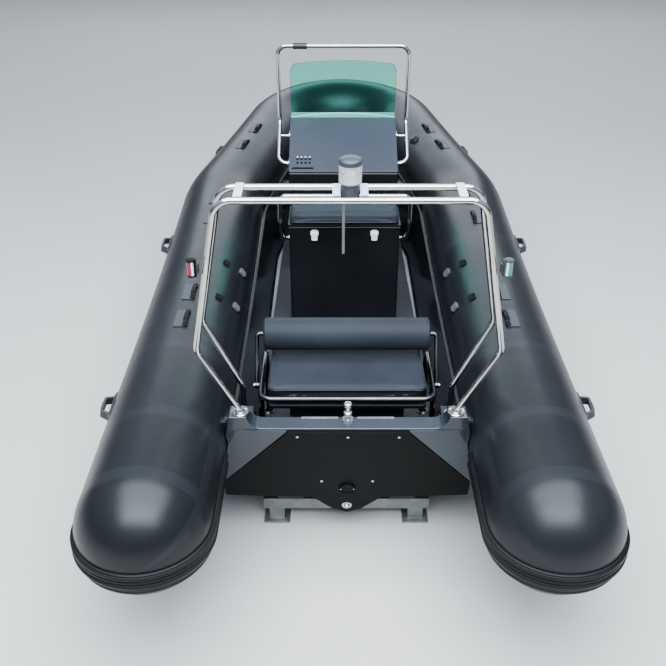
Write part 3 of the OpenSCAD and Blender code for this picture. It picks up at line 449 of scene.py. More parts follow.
def centre_x(y):
    if y <= straight_to:
        return side_x
    if y <= bend_end:
        return side_x - shoulder_bend + math.sqrt(shoulder_bend ** 2 - (y - straight_to) ** 2)
    if y <= arc_start:
        return (bow_bend - (y - bow_centre) * math.sin(taper)) / math.cos(taper)
    return math.sqrt(max(0, bow_bend ** 2 - (y - bow_centre) ** 2))

def lean(y):
    if y <= straight_to:
        return 0.0
    if y <= bend_end:
        return math.asin((y - straight_to) / shoulder_bend)
    if y <= arc_start:
        return taper
    return math.asin(min(1, (y - bow_centre) / bow_bend))

def centre_z(y):
    return tube_height + bow_rise * (max(0, y - rise_start) / (bow_end - rise_start)) ** 2

def radius(y):
    return side_radius + (bow_radius - side_radius) * max(0, y - straight_to) / (bow_end - straight_to)

# %% Stations: a centre, the level way out, and a radius
up = Vector((0, 0, 1))

def station(y):
    out = Vector((math.cos(lean(y)), math.sin(lean(y)), 0))
    return (Vector((centre_x(y), y, centre_z(y))), out, radius(y))

def bow_station(turn):
    y = bow_centre + bow_bend * math.cos(turn)
    return (Vector((bow_bend * math.sin(turn), y, centre_z(y))),
            Vector((math.sin(turn), math.cos(turn), 0)), radius(y))

def mirror_station(s):
    return (Vector((-s[0].x, s[0].y, s[0].z)), Vector((-s[1].x, s[1].y, 0)), s[2])

def on_ring(s, r, a):
    return s[0] + r * (math.cos(a) * s[1] + math.sin(a) * up)

ring_count = 72

def ring(s):
    return [on_ring(s, s[2], 2 * math.pi * (k + 0.5) / ring_count) for k in range(ring_count)]

def spread(start, end, step):
    count = max(1, round(abs(end - start) / step))
    return [start + (end - start) * k / count for k in range(count + 1)]

station_step, arc_step = 0.06, math.radians(4)
dome = [(Vector((side_x, dome_start - side_radius * math.cos(math.radians(a)), tube_height)),
         Vector((1, 0, 0)), side_radius * math.sin(math.radians(a))) for a in spread(1.5, 87, 5)]
side_stations = dome + [station(y) for y in spread(dome_start, chamber_seam, station_step)]
taper_stations = [station(y) for y in spread(chamber_seam + joint_gap, arc_start, station_step)]
arc_stations = [bow_station(a) for a in spread(math.pi / 2 - taper, 0, arc_step)][1:]
half_bow = taper_stations + arc_stations
bow_stations = half_bow + [mirror_station(s) for s in reversed(half_bow[:-1])]
print("tube stations:", len(side_stations), "side,", len(bow_stations), "bow")

# %% Skin the three chambers
side_walk = running([s[0] for s in side_stations])
bow_length = running([s[0] for s in bow_stations])[-1]

def along_tube(y):
    passed = sum(s[0].y < y for s in side_stations)
    return side_walk[passed - 1]

side_tapes = [along_tube(y) for y in (-2.13, -1.76, -1.26, -0.15, chamber_seam - 0.01)]
bow_tapes = (0.02, bow_length - 0.02, 0.62, bow_length - 0.62)
half_way_round = math.pi * side_radius
side_fabric = tube_fabric("tube_fabric", side_tapes, (half_way_round * 0.83,))
bow_fabric = tube_fabric("tube_fabric_bow", bow_tapes)
right_tube = paint(loft("side_tube_starboard", [ring(s) for s in side_stations]), side_fabric)
left_tube = to_port(right_tube, "side_tube_port")
bow_tube = paint(loft("bow_tube", [ring(s) for s in bow_stations]), bow_fabric)
for tube, node in ((right_tube, "tube_starboard"), (left_tube, "tube_port"), (bow_tube, "tube_bow")):
    fit(tube, "tube_fabric", node)

# %% [markdown]
# The rubbing strake is an extruded rubber section bonded along the tube's outer side and round its stern
# cones. Its ribs are drawn once as a profile and lofted along the same stations.

# %% Strakes
grip_angle, grip_half_width, strake_clear = 11.25, 0.03, 0.0126
strake_half = math.asin(strake_width / 2 / side_radius)
strake_middle = (math.radians(grip_angle) - math.asin(grip_half_width / side_radius) - strake_half
                 - strake_clear / side_radius)
groove = 0.0075
edge = [(0.0, 1.0), (0.006, 0.99), (0.0085, 0.95)]
profile = [(out, -share) for out, share in edge]
for centre, half, crest in ((-0.72, 0.14, 0.0135), (-0.36, 0.13, 0.0125), (0.0, 0.17, strake_depth),
                            (0.36, 0.13, 0.0125), (0.72, 0.14, 0.0135)):
    for share in (-1.0, -0.82, -0.5, -0.2, 0.2, 0.5, 0.82, 1.0):
        lift = math.sqrt(1 - share ** 4)
        profile.append((groove + (crest - groove) * lift, centre + half * share))
profile += edge[::-1] + [(0.0, share) for share in (0.6, 0.2, -0.2, -0.6)]

def strake_ring(s):
    return [on_ring(s, s[2] + strake_seat + out, strake_middle + strake_half * share) for out, share in profile]

transom_top = -1.69
inner_run = [(Vector((side_x, y, tube_height)), Vector((-1, 0, 0)), side_radius)
             for y in spread(transom_top - 0.04, transom_top - 0.16, 0.06)]
wrap = [(Vector((side_x, dome_start, tube_height)), Vector((math.cos(a), math.sin(a), 0)), side_radius)
        for a in spread(math.pi, 2 * math.pi, arc_step)]
strake_run = inner_run + wrap + [station(y) for y in spread(dome_start, chamber_seam, 0.08)[1:]]
strake_rubber = finish("strake_rubber", (0.0024, 0.0025, 0.0028), (0.005, 0.0052, 0.0057), (0.4, 0.52), 6,
                       500, 0.0002, specular=0.14)
right_strake = paint(loft("strake_starboard_run", [strake_ring(s) for s in strake_run]), strake_rubber)
left_strake = to_port(right_strake, "strake_port_run")
bow_strake = paint(loft("strake_bow_run", [strake_ring(s) for s in bow_stations]), strake_rubber)
for strake, node in ((right_strake, "strake_starboard"), (left_strake, "strake_port"),
                     (bow_strake, "strake_bow")):
    fit(strake, "strake_rubber", node)
print("strake triangles:", len(right_strake.data.polygons) * 2)

# %% [markdown]
# ## Two more ways to make a shape
# Flanges, posts, lenses and screw heads are round about an axis. Each starts as a filled circle that is
# extruded and resized ring by ring, as on a lathe. Plates, straps and housings start as a cube whose
# upright edges are bevelled to the corner radius, and whose rims are then broken with a small bevel.

# %% Turn a round piece from its profile
def turned(name, profile, sides=32, place=None):
    clear()
    bpy.ops.mesh.primitive_circle_add(vertices=sides, radius=profile[0][0], fill_type="NGON",
                                      location=(0, 0, profile[0][1]))
    piece = settle(bpy.context.object)
    piece.name = name
    edit(piece, "FACE")
    for (r, h), (next_r, next_h) in zip(profile, profile[1:]):
        bpy.ops.mesh.extrude_region_move(TRANSFORM_OT_translate={"value": (0, 0, next_h - h)})
        if next_r != r:
            bpy.ops.transform.resize(value=(next_r / r, next_r / r, 1), center_override=(0, 0, next_h))
    bpy.ops.mesh.select_all(action="SELECT")
    bpy.ops.mesh.normals_make_consistent(inside=False)
    leave()
    return put(smooth(piece), place)

def screw(r, edge_height, crown, height, place, sides=12):
    return turned("head", [(r, 0), (r - 0.0002, edge_height), (crown, height)], sides, place)

# %% Cut a plate or block with round corners
def bevel_edges(piece, width, segments, test):
    edit(piece, "EDGE")
    bpy.ops.mesh.select_all(action="DESELECT")
    leave()
    points = piece.data.vertices
    for edge in piece.data.edges:
        edge.select = test(points[edge.vertices[0]].co.z, points[edge.vertices[1]].co.z)
    bpy.ops.object.mode_set(mode="EDIT")
    bpy.ops.mesh.bevel(offset=width, segments=segments, affect="EDGES")
    leave()

def block(name, size, corner=0.0, rim=0.001, place=None, segments=5):
    clear()
    bpy.ops.mesh.primitive_cube_add(size=1, location=(0, 0, size[2] / 2))
    piece = bpy.context.object
    piece.name = name
    piece.scale = size
    settle(piece)
    near, top = 1e-5, size[2]
    if corner:
        bevel_edges(piece, corner, segments, lambda a, b: abs(a - b) > top / 2)
    bevel_edges(piece, rim, 2, lambda a, b: abs(a - b) < near and (a < near or a > top - near))
    return put(even(smooth(piece)), place)

# %% Places on the boat
x_axis = (1, 0, 0)

def stand(point, axis=(0, 0, 1)):
    return at(*point) @ Vector(axis).to_track_quat("Z", "Y").to_matrix().to_4x4()

def on_tube(y, degrees):
    angle, glue, near = math.radians(degrees), 0.0005, 0.001
    pitch = math.atan((centre_z(y + near) - centre_z(y - near)) / (2 * near) * math.cos(lean(y)))
    out = radius(y) * (1 - math.sin(angle) ** 2 * (1 - math.cos(pitch))) + glue
    narrowing = math.atan((radius(y - near) - radius(y + near)) / (2 * near))
    return (at(centre_x(y), y, centre_z(y)) @ Matrix.Rotation(lean(y), 4, "Z")
            @ Matrix.Rotation(pitch, 4, "X") @ Matrix.Rotation(math.pi / 2 - angle, 4, "Y")
            @ at(0, 0, out) @ Matrix.Rotation(-narrowing, 4, "X") @ Matrix.Rotation(math.pi / 2, 4, "Z"))

# %% [markdown]
# ## Hull, deck and furniture mouldings
# These are laid-up or moulded shells, so their edges are round, not sharp. Copies of the CAD nodes get a
# small bevel and smooth shading, and stand in for the nodes.

# %% Soften the mouldings
def moulding(node, slot, surface, width, angle=32, edge=35, segments=3):
    fit(paint(softened(node, node + "_moulded", width, segments, angle, edge), surface), slot, node)

moulding("rigid_hull", "gelcoat", hull_coat, 0, 24)
moulding("bow_deck", "gelcoat", gelcoat, 0, 40)
for side in ("port", "starboard"):
    moulding("liner_" + side, "gelcoat", gelcoat, 0, 30)
    moulding("rim_" + side, "trim_grey", trim_grey, 0.003, 40)
moulding("transom", "gelcoat", transom_coat, 0.018, edge=30, segments=6)
moulding("transom_fairings", "gelcoat", transom_coat, 0.003)
moulding("engine_pad", "pad_plastic", pad_black, 0.0015)
for node, width in (("console", 0.01), ("seat_box", 0.003), ("bench_base", 0.003)):
    moulding(node, "gelcoat", furniture_coat, width)
moulding("cradle_beams", "galvanised", zinc, 0.002)
moulding("cradle_rails", "galvanised", zinc, 0.004)
moulding("cradle_chocks", "chock_rubber", moulded, 0.006)
print("mouldings softened")

# %% [markdown]
# ## Bent steel tube
# The arch, the grab rails and the backrest frame are polished tube with true round bends. Sweeping a round
# section along the same centre lines as the CAD gives an even highlight all along them. The bench's tubes
# are drawn darker, because they stand in the shade of the cushion.

# %% Light arch hoops
rail_d, aft_y, fore_y, light_y = 0.025, -1.65, -1.46, -1.587
aft_half = [(0.435, aft_y, 0.7578), (0.59, aft_y, 1.041), (0.476, aft_y, 1.662)]
fore_half = [(0.442, fore_y, 0.606), (0.442, fore_y, 0.75), (0.59, fore_y, 1.064), (0.476, -1.524, 1.662)]
for node, half in (("arch_aft_hoop", aft_half), ("arch_fore_hoop", fore_half)):
    fit(hoop(node + "_tube", half, 0.07, rail_d, chrome), "steel", node)

# %% Flanges at the feet of the arch
def flange(name, across, thick, point, surface=chrome):
    r, place = across / 2, stand(point)
    plate = turned(name, [(r - 0.001, 0), (r, 0.001), (r, thick - 0.002), (r - 0.002, thick), (0.02, thick),
                          (0.0165, thick + 0.004), (0.013, thick + 0.012)], 40, place)
    bolts = []
    for a in (math.radians(90 + 120 * k) for k in range(3)):
        spot = at((r - 0.009) * math.cos(a), (r - 0.009) * math.sin(a), thick)
        bolts.append(screw(0.0048, 0.0016, 0.003, 0.0028, place @ spot))
    pair(paint(join([plate] + bolts, name), surface), "steel")

flange("aft_foot_starboard", 0.07, 0.006, (0.435, aft_y, 0.7503))
flange("fore_foot_starboard", 0.056, 0.006, (0.442, fore_y, 0.6003))

# %% Console rail
console_x, low_y, low_z, top_y, top_z = 0.3875, 0.52, 1.000, 0.725, 1.6435
console_half = [(0.3268, low_y, low_z), (console_x, low_y, low_z), (console_x, 0.755, 1.19),
                (console_x, top_y, top_z)]
fit(hoop("console_rail_tube", console_half, 0.055, rail_d, chrome), "steel", "console_rail")
link_d = 0.016
for label, y, z, d, rod in (("low", low_y, low_z, rail_d, []),
                            ("link", 0.6704, 1.1216, link_d, [(link_d / 2, 0.0095), (link_d / 2, 0.062)])):
    disc = [(0.026, 0), (0.028, 0.001), (0.028, 0.004), (0.025, 0.0055), (d / 2 + 0.004, 0.0055),
            (d / 2 + 0.0015, 0.009)]
    pair(paint(turned("console_rail_%s_starboard" % label, disc + rod, 32, stand((0.3228, y, z), x_axis)),
               chrome), "steel")
sleeve_way = [Vector((x, top_y, top_z)) for x in (-0.296, -0.214)]
fit(paint(sweep("rail_sleeve", sleeve_way, 0.036), moulded), "steel")

# %% Helm seat rail
seat_half = [(0.3073, -0.15, 0.819), (0.3375, -0.18, 0.839), (0.3375, -0.335, 0.999), (0.3375, -0.35, 1.146)]
fit(hoop("seat_rail_tube", seat_half, 0.04, 0.022, chrome), "steel", "seat_rail")
disc = [(0.024, 0), (0.025, 0.001), (0.025, 0.004), (0.023, 0.005), (0.014, 0.006), (0.0115, 0.012)]
pair(paint(turned("seat_rail_disc_starboard", disc, 32, stand((0.2963, -0.15, 0.819), x_axis)), chrome),
     "steel")

# %% Bench rail, its posts and their feet
bench_x, bench_fore, bench_aft, floor_z = 0.3675, -1.115, -1.448, 0.3603
bench_half = [(bench_x, bench_fore, 0.3653), (bench_x, bench_fore, 0.71), (bench_x, -1.508, 0.71)]
fit(hoop("bench_rail_tube", bench_half, 0.05, rail_d, steel_painted_shade), "steel", "bench_rail")
post_way = [Vector((bench_x, bench_aft, z)) for z in (0.3653, 0.712)]
pair(paint(sweep("bench_post_starboard", post_way, rail_d), steel_painted_shade), "steel")
for label, y in (("fore", bench_fore), ("aft", bench_aft)):
    flange("bench_foot_%s_starboard" % label, 0.06, 0.005, (bench_x, y, floor_z), steel_painted_shade)

# %% Pivot and backrest frame
pivot_y, pivot_z = -1.29, 0.63
lug = block("pivot_lug_starboard", (0.04, 0.118, 0.006), 0.018, 0.001, stand((0.3705, pivot_y, 0.652), x_axis))
pair(paint(lug, steel_painted_shade), "steel")
pin = [(0.005, 0), (0.005, 0.039), (0.0085, 0.039), (0.0085, 0.0425), (0.007, 0.044)]
pair(paint(turned("pivot_pin_starboard", pin, 24, stand((0.3725, pivot_y, pivot_z), x_axis)), chrome), "steel")
arm_way = rounded_way([(0.4, pivot_y, pivot_z), (0.4, -1.172, 0.828), (0.3723, -1.172, 0.828)], 0.014)
arm_way[0] += (arm_way[1] - arm_way[0]).normalized() * 0.01
arm = sweep("backrest_arm_starboard", arm_way, 0.02)
hub = turned("hub", [(0.0055, 0), (0.0145, 0), (0.015, 0.0005), (0.015, 0.0215), (0.0145, 0.022),
                     (0.0055, 0.022)], 32, stand((0.389, pivot_y, pivot_z), x_axis))
pair(paint(join([arm, hub], "backrest_arm_starboard"), steel_painted_shade), "steel", "backrest_frame", body="backrest")
print("steel tubes swept")

# %% [markdown]
# ## Lights on the arch
# The all-round light is a slate base between two pale brackets, a clear lens with fine upright ribs over
# a white core, and a low domed cap. The ribs come from pulling every other edge of the lens inwards.

# %% All-round light
lens_sides, rib_depth = 96, 0.075
light_place = at(0, light_y, 0)
base = turned("light_socket", [(0.0325, 1.642), (0.0345, 1.644), (0.0345, 1.694), (0.0325, 1.7),
                               (0.0325, 1.7035)], 48, light_place)
fit(paint(base, slate_plastic), "bracket_grey", "light_base")
lens = turned("light_lens", [(0.038, 1.7043), (0.041, 1.706), (0.041, 1.72), (0.0395, 1.7212),
                             (0.041, 1.7224), (0.041, 1.737), (0.0395, 1.7382), (0.041, 1.7394),
                             (0.041, 1.7715), (0.04, 1.772)], lens_sides, light_place)
for vertex in lens.data.vertices:
    out = Vector((vertex.co.x, vertex.co.y - light_y, 0))
    turn = round(math.atan2(out.y, out.x) / (2 * math.pi) * lens_sides)
    if turn % 2 and out.length > 0.04:
        vertex.co -= out * rib_depth
fit(paint(lens, lens_clear), "lens_clear", "all_round_light")
core = turned("light_core", [(0.031, 1.7065), (0.033, 1.7085), (0.033, 1.733), (0.016, 1.735),
                             (0.016, 1.764), (0.022, 1.769)], 32, light_place)
fit(paint(core, white_plastic), "lens_clear")
cap = turned("light_cap", [(0.0405, 1.7723), (0.0425, 1.7735), (0.043, 1.776), (0.043, 1.786),
                           (0.0422, 1.7885), (0.04, 1.7915), (0.033, 1.7955), (0.023, 1.7985),
                           (0.012, 1.8005), (0.003, 1.801)], 64, light_place)
fit(paint(cap, slate_plastic), "bracket_grey")

# %% Brackets and link plates between the arch bars
bracket = block("bracket", (0.027, 0.104, 0.006), 0.004, 0.001, at(0.049, light_y, 1.675))
web = block("web", (0.022, 0.086, 0.029), 0.003, 0.0015, at(0.0485, light_y, 1.6458))
pair(paint(join([bracket, web], "light_bracket_starboard"), grey_plastic), "bracket_grey")
plate = block("plate", (0.03, 0.126, 0.005), 0.003, 0.0008, at(0.396, light_y, 1.6748))
screws = [screw(0.0042, 0.0012, 0.0024, 0.002, at(0.396, y, 1.6798)) for y in (-1.645, -1.529)]
pair(paint(join([plate] + screws, "arch_link_starboard"), grey_plastic), "bracket_grey", "arch_links")

# %% [markdown]
# The side lights are small drums against the arch's legs. Each drum is cut upright near its axis: the
# inner part is a white body, the outer part the coloured lens, and a hat and a shoe close the ends.

# %% Side lights, red to port and green to starboard
def drum_part(name, r, x, cut_x, side, **cleared):
    drum = turned(name, [(r - 0.001, 1.3725), (r, 1.3735), (r, 1.4275)], 40, at(x, aft_y, 0))
    edit(drum)
    bpy.ops.mesh.bisect(plane_co=(cut_x, aft_y, 1.4), plane_no=(side, 0, 0), use_fill=True, **cleared)
    leave()
    return drum

def side_light(label, side, lens_finish, housing_finish):
    x = side * 0.5789
    drum_place = at(x, aft_y, 0)
    plate = block("plate", (0.008, 0.034, 0.06), 0.0035, 0.001, at(x - side * 0.016, aft_y, 1.37))
    hat = turned("hat", [(0.015, 1.4278), (0.0178, 1.429), (0.018, 1.431), (0.0172, 1.4345),
                         (0.012, 1.4358)], 40, drum_place)
    shoe = turned("shoe", [(0.012, 1.3655), (0.0155, 1.367), (0.016, 1.369), (0.0155, 1.3722)], 40,
                  drum_place)
    housing = join([plate, hat, shoe], "side_light_housing_" + label)
    fit(paint(housing, housing_finish), "panel_black", "nav_light_" + label)
    body = drum_part("side_light_body_" + label, 0.0148, x, x - side * 0.003, side, clear_outer=True)
    fit(paint(body, white_plastic), "panel_black")
    glass = drum_part("side_light_lens_" + label, 0.015, x, x - side * 0.0025, side, clear_inner=True)
    fit(paint(glass, lens_finish), "light_red" if side < 0 else "light_green")

side_light("port", -1, lens_red, pad_black)
side_light("starboard", 1, lens_green, slate_plastic)
print("lights made")

# %% [markdown]
# ## Fittings on the tube
# Each handle, strap and clip is glued to the tube on a patch. They are made flat at the origin, with x
# along the boat, and then put on the tube's skin at their station and angle.

# %% Flat section along a way
def band(name, way, width, thick):
    way = [Vector(p) for p in way]
    section = ((-1, -0.6), (-0.94, -1), (0.94, -1), (1, -0.6), (1, 0.6), (0.94, 1), (-0.94, 1), (-1, 0.6))
    rings = []
    for i, point in enumerate(way):
        along = (way[min(i + 1, len(way) - 1)] - way[max(i - 1, 0)]).normalized()
        upward = along.cross(Vector((0, 1, 0)))
        rings.append([point + Vector((0, across * width / 2, 0)) + upward * lift * thick / 2
                      for across, lift in section])
    return loft(name, rings)

def arched_way(half, height, flat, foot, steps, y=0.0, low=0.002):
    run = half - foot - flat
    rise = [(-half + foot + run * k / steps, y, low + height * (1 - math.cos(math.pi * k / steps)) / 2)
            for k in range(steps + 1)]
    return [(-half, y, low)] + rise + [(-x, y, z) for x, y, z in reversed(rise)] + [(half, y, low)]

def fix_row(make, name, nodes, angle, ys):
    for i, y in enumerate(ys):
        piece = put(join(make(), "%s_starboard_%d" % (name, i)), on_tube(y, angle))
        pair(piece, "fitting_rubber", *(nodes if i == 0 else ()))

# %% Grab handles
def grab_handle():
    base = block("base", (0.188, 0.056, 0.007), 0.02, 0.002)
    lip = block("lip", (0.15, 0.046, 0.01), 0.014, 0.003)
    grip = band("grip", arched_way(0.072, 0.04, 0.04, 0.006, 8), 0.038, 0.011)
    insert = block("insert", (0.058, 0.028, 0.0035), 0.01, 0.001, at(0, 0, 0.0462))
    return [paint(piece, moulded) for piece in (base, lip, grip)] + [paint(insert, patch_grey)]

fix_row(grab_handle, "grab_handle", ["grab_handles"], grip_angle, (-1.49, 0.04, 1.29))

# %% Strap handles
def strap_handle():
    strap_y = 0.024
    patch = block("patch", (0.148, 0.056, 0.003), 0.008, 0.001)
    strap = band("strap", arched_way(0.07, 0.015, 0.02, 0.01, 6, strap_y), 0.02, 0.003)
    ends = [block("end", (0.034, 0.024, 0.006), 0.006, 0.0015, at(x, strap_y, 0)) for x in (-0.054, 0.054)]
    return [paint(patch, patch_grey)] + [paint(piece, pad_black) for piece in [strap] + ends]

fix_row(strap_handle, "strap_handle", ["strap_handles"], 90, (-1.075, -0.825, 0.005, 0.255, 1.05, 1.315))

# %% Paddle clips and their straps
def paddle_clip():
    foot = block("foot", (0.046, 0.046, 0.005), 0.008, 0.0015)
    buckle = block("buckle", (0.042, 0.04, 0.012), 0.006, 0.002, at(0, 0, 0.005))
    tongue = block("tongue", (0.036, 0.008, 0.003), 0.003, 0.001, at(0, 0.024, 0.006))
    return [paint(foot, moulded), paint(buckle, buckle_grey), paint(tongue, pad_black)]

def paddle_strap():
    foot = block("foot", (0.06, 0.04, 0.004), 0.014, 0.0012)
    loop = band("loop", arched_way(0.024, 0.011, 0.004, 0.006, 5), 0.02, 0.004)
    return [paint(foot, pad_black), paint(loop, pad_black)]

clip_ys = (-0.79, -0.44)
fix_row(paddle_clip, "paddle_clip", ["paddle_clips"], 146.25, clip_ys)
fix_row(paddle_strap, "paddle_strap", [], 123.75, [y - 0.015 for y in clip_ys])

# %% Filling valve
valve = turned("filling_valve", [(0.034, 0), (0.035, 0.001), (0.035, 0.006), (0.033, 0.0085),
                                 (0.027, 0.009), (0.0265, 0.007), (0.025, 0.007), (0.0248, 0.019),
                                 (0.0235, 0.0215), (0.012, 0.022)], 48, on_tube(1.24, 123.75))
fit(paint(valve, moulded), "fitting_rubber", "valve")
print("tube fittings made")

# %% [markdown]
# ## Console top
# The dash is a padded slope on the console. Behind it a level glossy ledge carries the windscreen, a
# thin green sheet bowed round the ledge; the ledge's teal colour is a painted reflection of that screen.
# The switch panel is a low plate with four toggles.

# %% Dash and ledge
dash_run, dash_climb, dash_t, console_w = 0.4, 0.2, 0.01, 0.643
dash_length = math.hypot(dash_run, dash_climb)
slope = math.atan2(dash_climb, dash_run)

def on_dash(x, along, out=0.0):
    return (at(0, 0.35, 1.0003 + dash_t / math.cos(slope)) @ Matrix.Rotation(slope, 4, "X")
            @ at(x, along, out))

pad = block("dash_pad", (console_w, dash_length - 0.001, 0.0096), 0.01, 0.0035,
            on_dash(0, dash_length / 2, -0.0097), segments=6)
fit(paint(pad, dash_skin), "dash_grey", "dash")
# The ledge takes the teal painted reflection of the windscreen as its colour.
ledge = block("console_ledge", (console_w, 0.107, 0.01), 0.004, 0.003, at(0, 0.8055, 1.2006))
fit(paint(ledge, ledge_painted_reflection), "dash_grey")

# %% Switch panel
plate_t = 0.0036
switches = [paint(block("plate", (0.11, 0.086, 0.0035), 0.008, 0.001, on_dash(-0.235, 0.075, 0.0003)),
                  dash_skin)]
for x in (-0.271, -0.247, -0.223, -0.199):
    place = on_dash(x, 0.098, plate_t)
    boot = turned("boot", [(0.0085, 0), (0.0085, 0.0015), (0.006, 0.0025), (0.0048, 0.006),
                           (0.0034, 0.0075)], 20, place)
    lever = turned("lever", [(0.0022, 0.006), (0.003, 0.01), (0.0046, 0.0125), (0.0052, 0.015),
                             (0.004, 0.018), (0.0015, 0.019)], 16, place)
    fuse = block("fuse", (0.013, 0.015, 0.003), 0.003, 0.0008, on_dash(x, 0.066, plate_t))
    switches += [paint(boot, pad_black), paint(lever, white_plastic), paint(fuse, pad_black)]
slot = block("slot", (0.128, 0.009, 0.0028), 0.003, 0.0008, on_dash(-0.24, 0.026, 0.0004))
fit(join(switches + [paint(slot, pad_black)], "switches"), "panel_black", "switch_panel")

# %% Windscreen
screen_half, screen_corner, screen_t = 0.315, 0.045, 0.0058
screen_low, screen_top, screen_lean = 1.2118, 1.5455, math.tan(math.radians(8))
screen_bow, screen_centre = 0.62, 0.22
screen_columns, screen_rows = 48, 16

def screen_row(share):
    row = []
    for k in range(screen_columns + 1):
        x = screen_half * (2 * k / screen_columns - 1)
        past = max(0.0, abs(x) - (screen_half - screen_corner))
        top = screen_top - screen_corner + math.sqrt(max(0.0, screen_corner ** 2 - past ** 2))
        z = screen_low + (top - screen_low) * share
        r = screen_bow - (z - screen_low) * screen_lean
        row.append(Vector((x, screen_centre + math.sqrt(r * r - x * x), z)))
    return row

screen_grid = [screen_row(k / screen_rows) for k in range(screen_rows + 1)]
screen = loft("screen_sheet", screen_grid, closed=False, capped=False)
modify(screen, "SOLIDIFY", thickness=screen_t, offset=0, use_even_offset=True)
screen.data.transform(at(0, -0.003, 0))
smooth(screen, 30)
fit(paint(screen, screen_tint), "screen_tint", "windscreen")
print("console top made")

# %% [markdown]
# ## Padded seats
# A sewn cushion is a vinyl cover blown out by its foam: crowned on top, pulled in along its seams and
# flat only where it rests. Each starts as a slightly small rounded block, is remeshed into an even net,
# and is puffed up by Blender's cloth with air pressure and no gravity, its underside pinned flat. No point
# may move further than the cap, so the cushion keeps its size. A thin black welt covers the seam.

# %% Puff a starting shape with cloth
last_frame = 20

def puff(piece, voxel, cap, pressure, pin_under=None):
    modify(piece, "REMESH", mode="VOXEL", voxel_size=voxel)
    start = [v.co.copy() for v in piece.data.vertices]
    air = piece.modifiers.new("air", "CLOTH")
    air.settings.use_pressure = True
    air.settings.uniform_pressure_force = pressure
    air.settings.effector_weights.gravity = 0
    air.point_cache.frame_start, air.point_cache.frame_end = 1, last_frame
    if pin_under is not None:
        group = piece.vertex_groups.new(name="resting")
        group.add([v.index for v in piece.data.vertices if v.co.z < pin_under], 1.0, "REPLACE")
        air.settings.vertex_group_mass = "resting"
    for moment in range(1, last_frame + 1):
        bpy.context.scene.frame_set(moment)
    take(piece)
    bpy.ops.object.modifier_apply(modifier="air")
    bpy.context.scene.frame_set(1)
    piece.vertex_groups.clear()
    for vertex, was in zip(piece.data.vertices, start):
        moved = vertex.co - was
        if moved.length > cap:
            vertex.co = was + moved * (cap / moved.length)
    modify(piece, "SUBSURF", levels=1, render_levels=1)
    bpy.ops.object.shade_smooth()
    print(piece.name, "faces:", len(piece.data.polygons))

# %% Welts along a seam
def outline(half_x, half_y, corner, y, z, step=0.02):
    points = []
    for sx, sy, first in ((1, 1, 0), (-1, 1, 90), (-1, -1, 180), (1, -1, 270)):
        for a in (math.radians(first + 15 * k) for k in range(7)):
            points.append(Vector((sx * (half_x - corner) + corner * math.cos(a),
                                  y + sy * (half_y - corner) + corner * math.sin(a), z)))
    dense = []
    for a, b in zip(points, points[1:] + points[:1]):
        count = max(1, round((b - a).length / step))
        dense += [a.lerp(b, k / count) for k in range(count)]
    return dense + dense[:1]

def welt(name, cushion, body, way, across):
    snug = []
    for point in way:
        found, place, normal, face = cushion.closest_point_on_mesh(point)
        snug.append(place + normal * across * 0.12)
    claim(paint(sweep(name, snug, across, 3, capped=False), moulded), body, "vinyl")

# %% Bench cushion, with painted shade on its sides
welt_d, upright = 0.0036, 0.45
low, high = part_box("bench_cushion")
middle_y = (low[1] + high[1]) / 2 + 0.009
bench_pad = block("bench_cushion_pad", (0.684, 0.346, 0.074), 0.032, 0.006, at(0, middle_y, low[2]),
                  segments=8)
puff(bench_pad, 0.006, 0.005, 2.0, low[2] + 0.012)
# The upright side faces get the darker vinyl as painted shade, and the top keeps the plain vinyl.
paint(bench_pad, vinyl).data.materials.append(vinyl_painted_shade)
for face in bench_pad.data.polygons:
    face.material_index = int(abs(face.normal.z) < upright)
claim(bench_pad, "boat", "vinyl", "bench_cushion")
welt("bench_cushion_welt", bench_pad, "boat", outline(0.345, 0.176, 0.04, middle_y, low[2] + 0.066), welt_d)

# %% Helm seat cushion, more crowned
low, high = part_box("seat_cushion")
middle_y = (low[1] + high[1]) / 2
helm_pad = block("seat_cushion_pad", (0.584, 0.248, 0.057), 0.028, 0.016, at(0, middle_y, low[2]), segments=8)
puff(helm_pad, 0.005, 0.007, 3.6, low[2] + 0.01)
claim(paint(helm_pad, vinyl), "seat_lid", "vinyl", "seat_cushion")
welt("seat_cushion_welt", helm_pad, "seat_lid", outline(0.292, 0.124, 0.03, middle_y, low[2] + 0.012), welt_d)

# %% Backrest bolster
low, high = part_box("backrest_bolster")
middle_y, middle_z = (low[1] + high[1]) / 2, (low[2] + high[2]) / 2
r, half = (high[2] - low[2]) / 2, (high[0] - low[0]) / 2
length = 2 * half - 0.006
end = [(r - 0.014, 0), (r - 0.005, 0.003), (r - 0.001, 0.008), (r, 0.016)]
bolster = turned("backrest_bolster_pad", end + [(out, length - h) for out, h in end[::-1]], 64,
                 stand((0.003 - half, middle_y, middle_z), x_axis))
puff(bolster, 0.006, 0.003, 2.5)
claim(paint(bolster, vinyl), "backrest", "vinyl", "backrest_bolster")
for label, x in (("starboard", half - 0.014), ("port", 0.014 - half)):
    circle = [Vector((x, middle_y + r * math.cos(a), middle_z + r * math.sin(a)))
              for a in (math.radians(6 * k) for k in range(61))]
    welt("bolster_welt_" + label, bolster, "backrest", circle, 0.004)
print("seats padded")

# %% [markdown]
# ## Seat lid and latches
# The lid is a gelcoat tray with a thin steel strip along its aft edge. Two draw latches hold it down:
# a riveted plate, a lever folded over it, a hook that reaches up to the lid and a small roller.

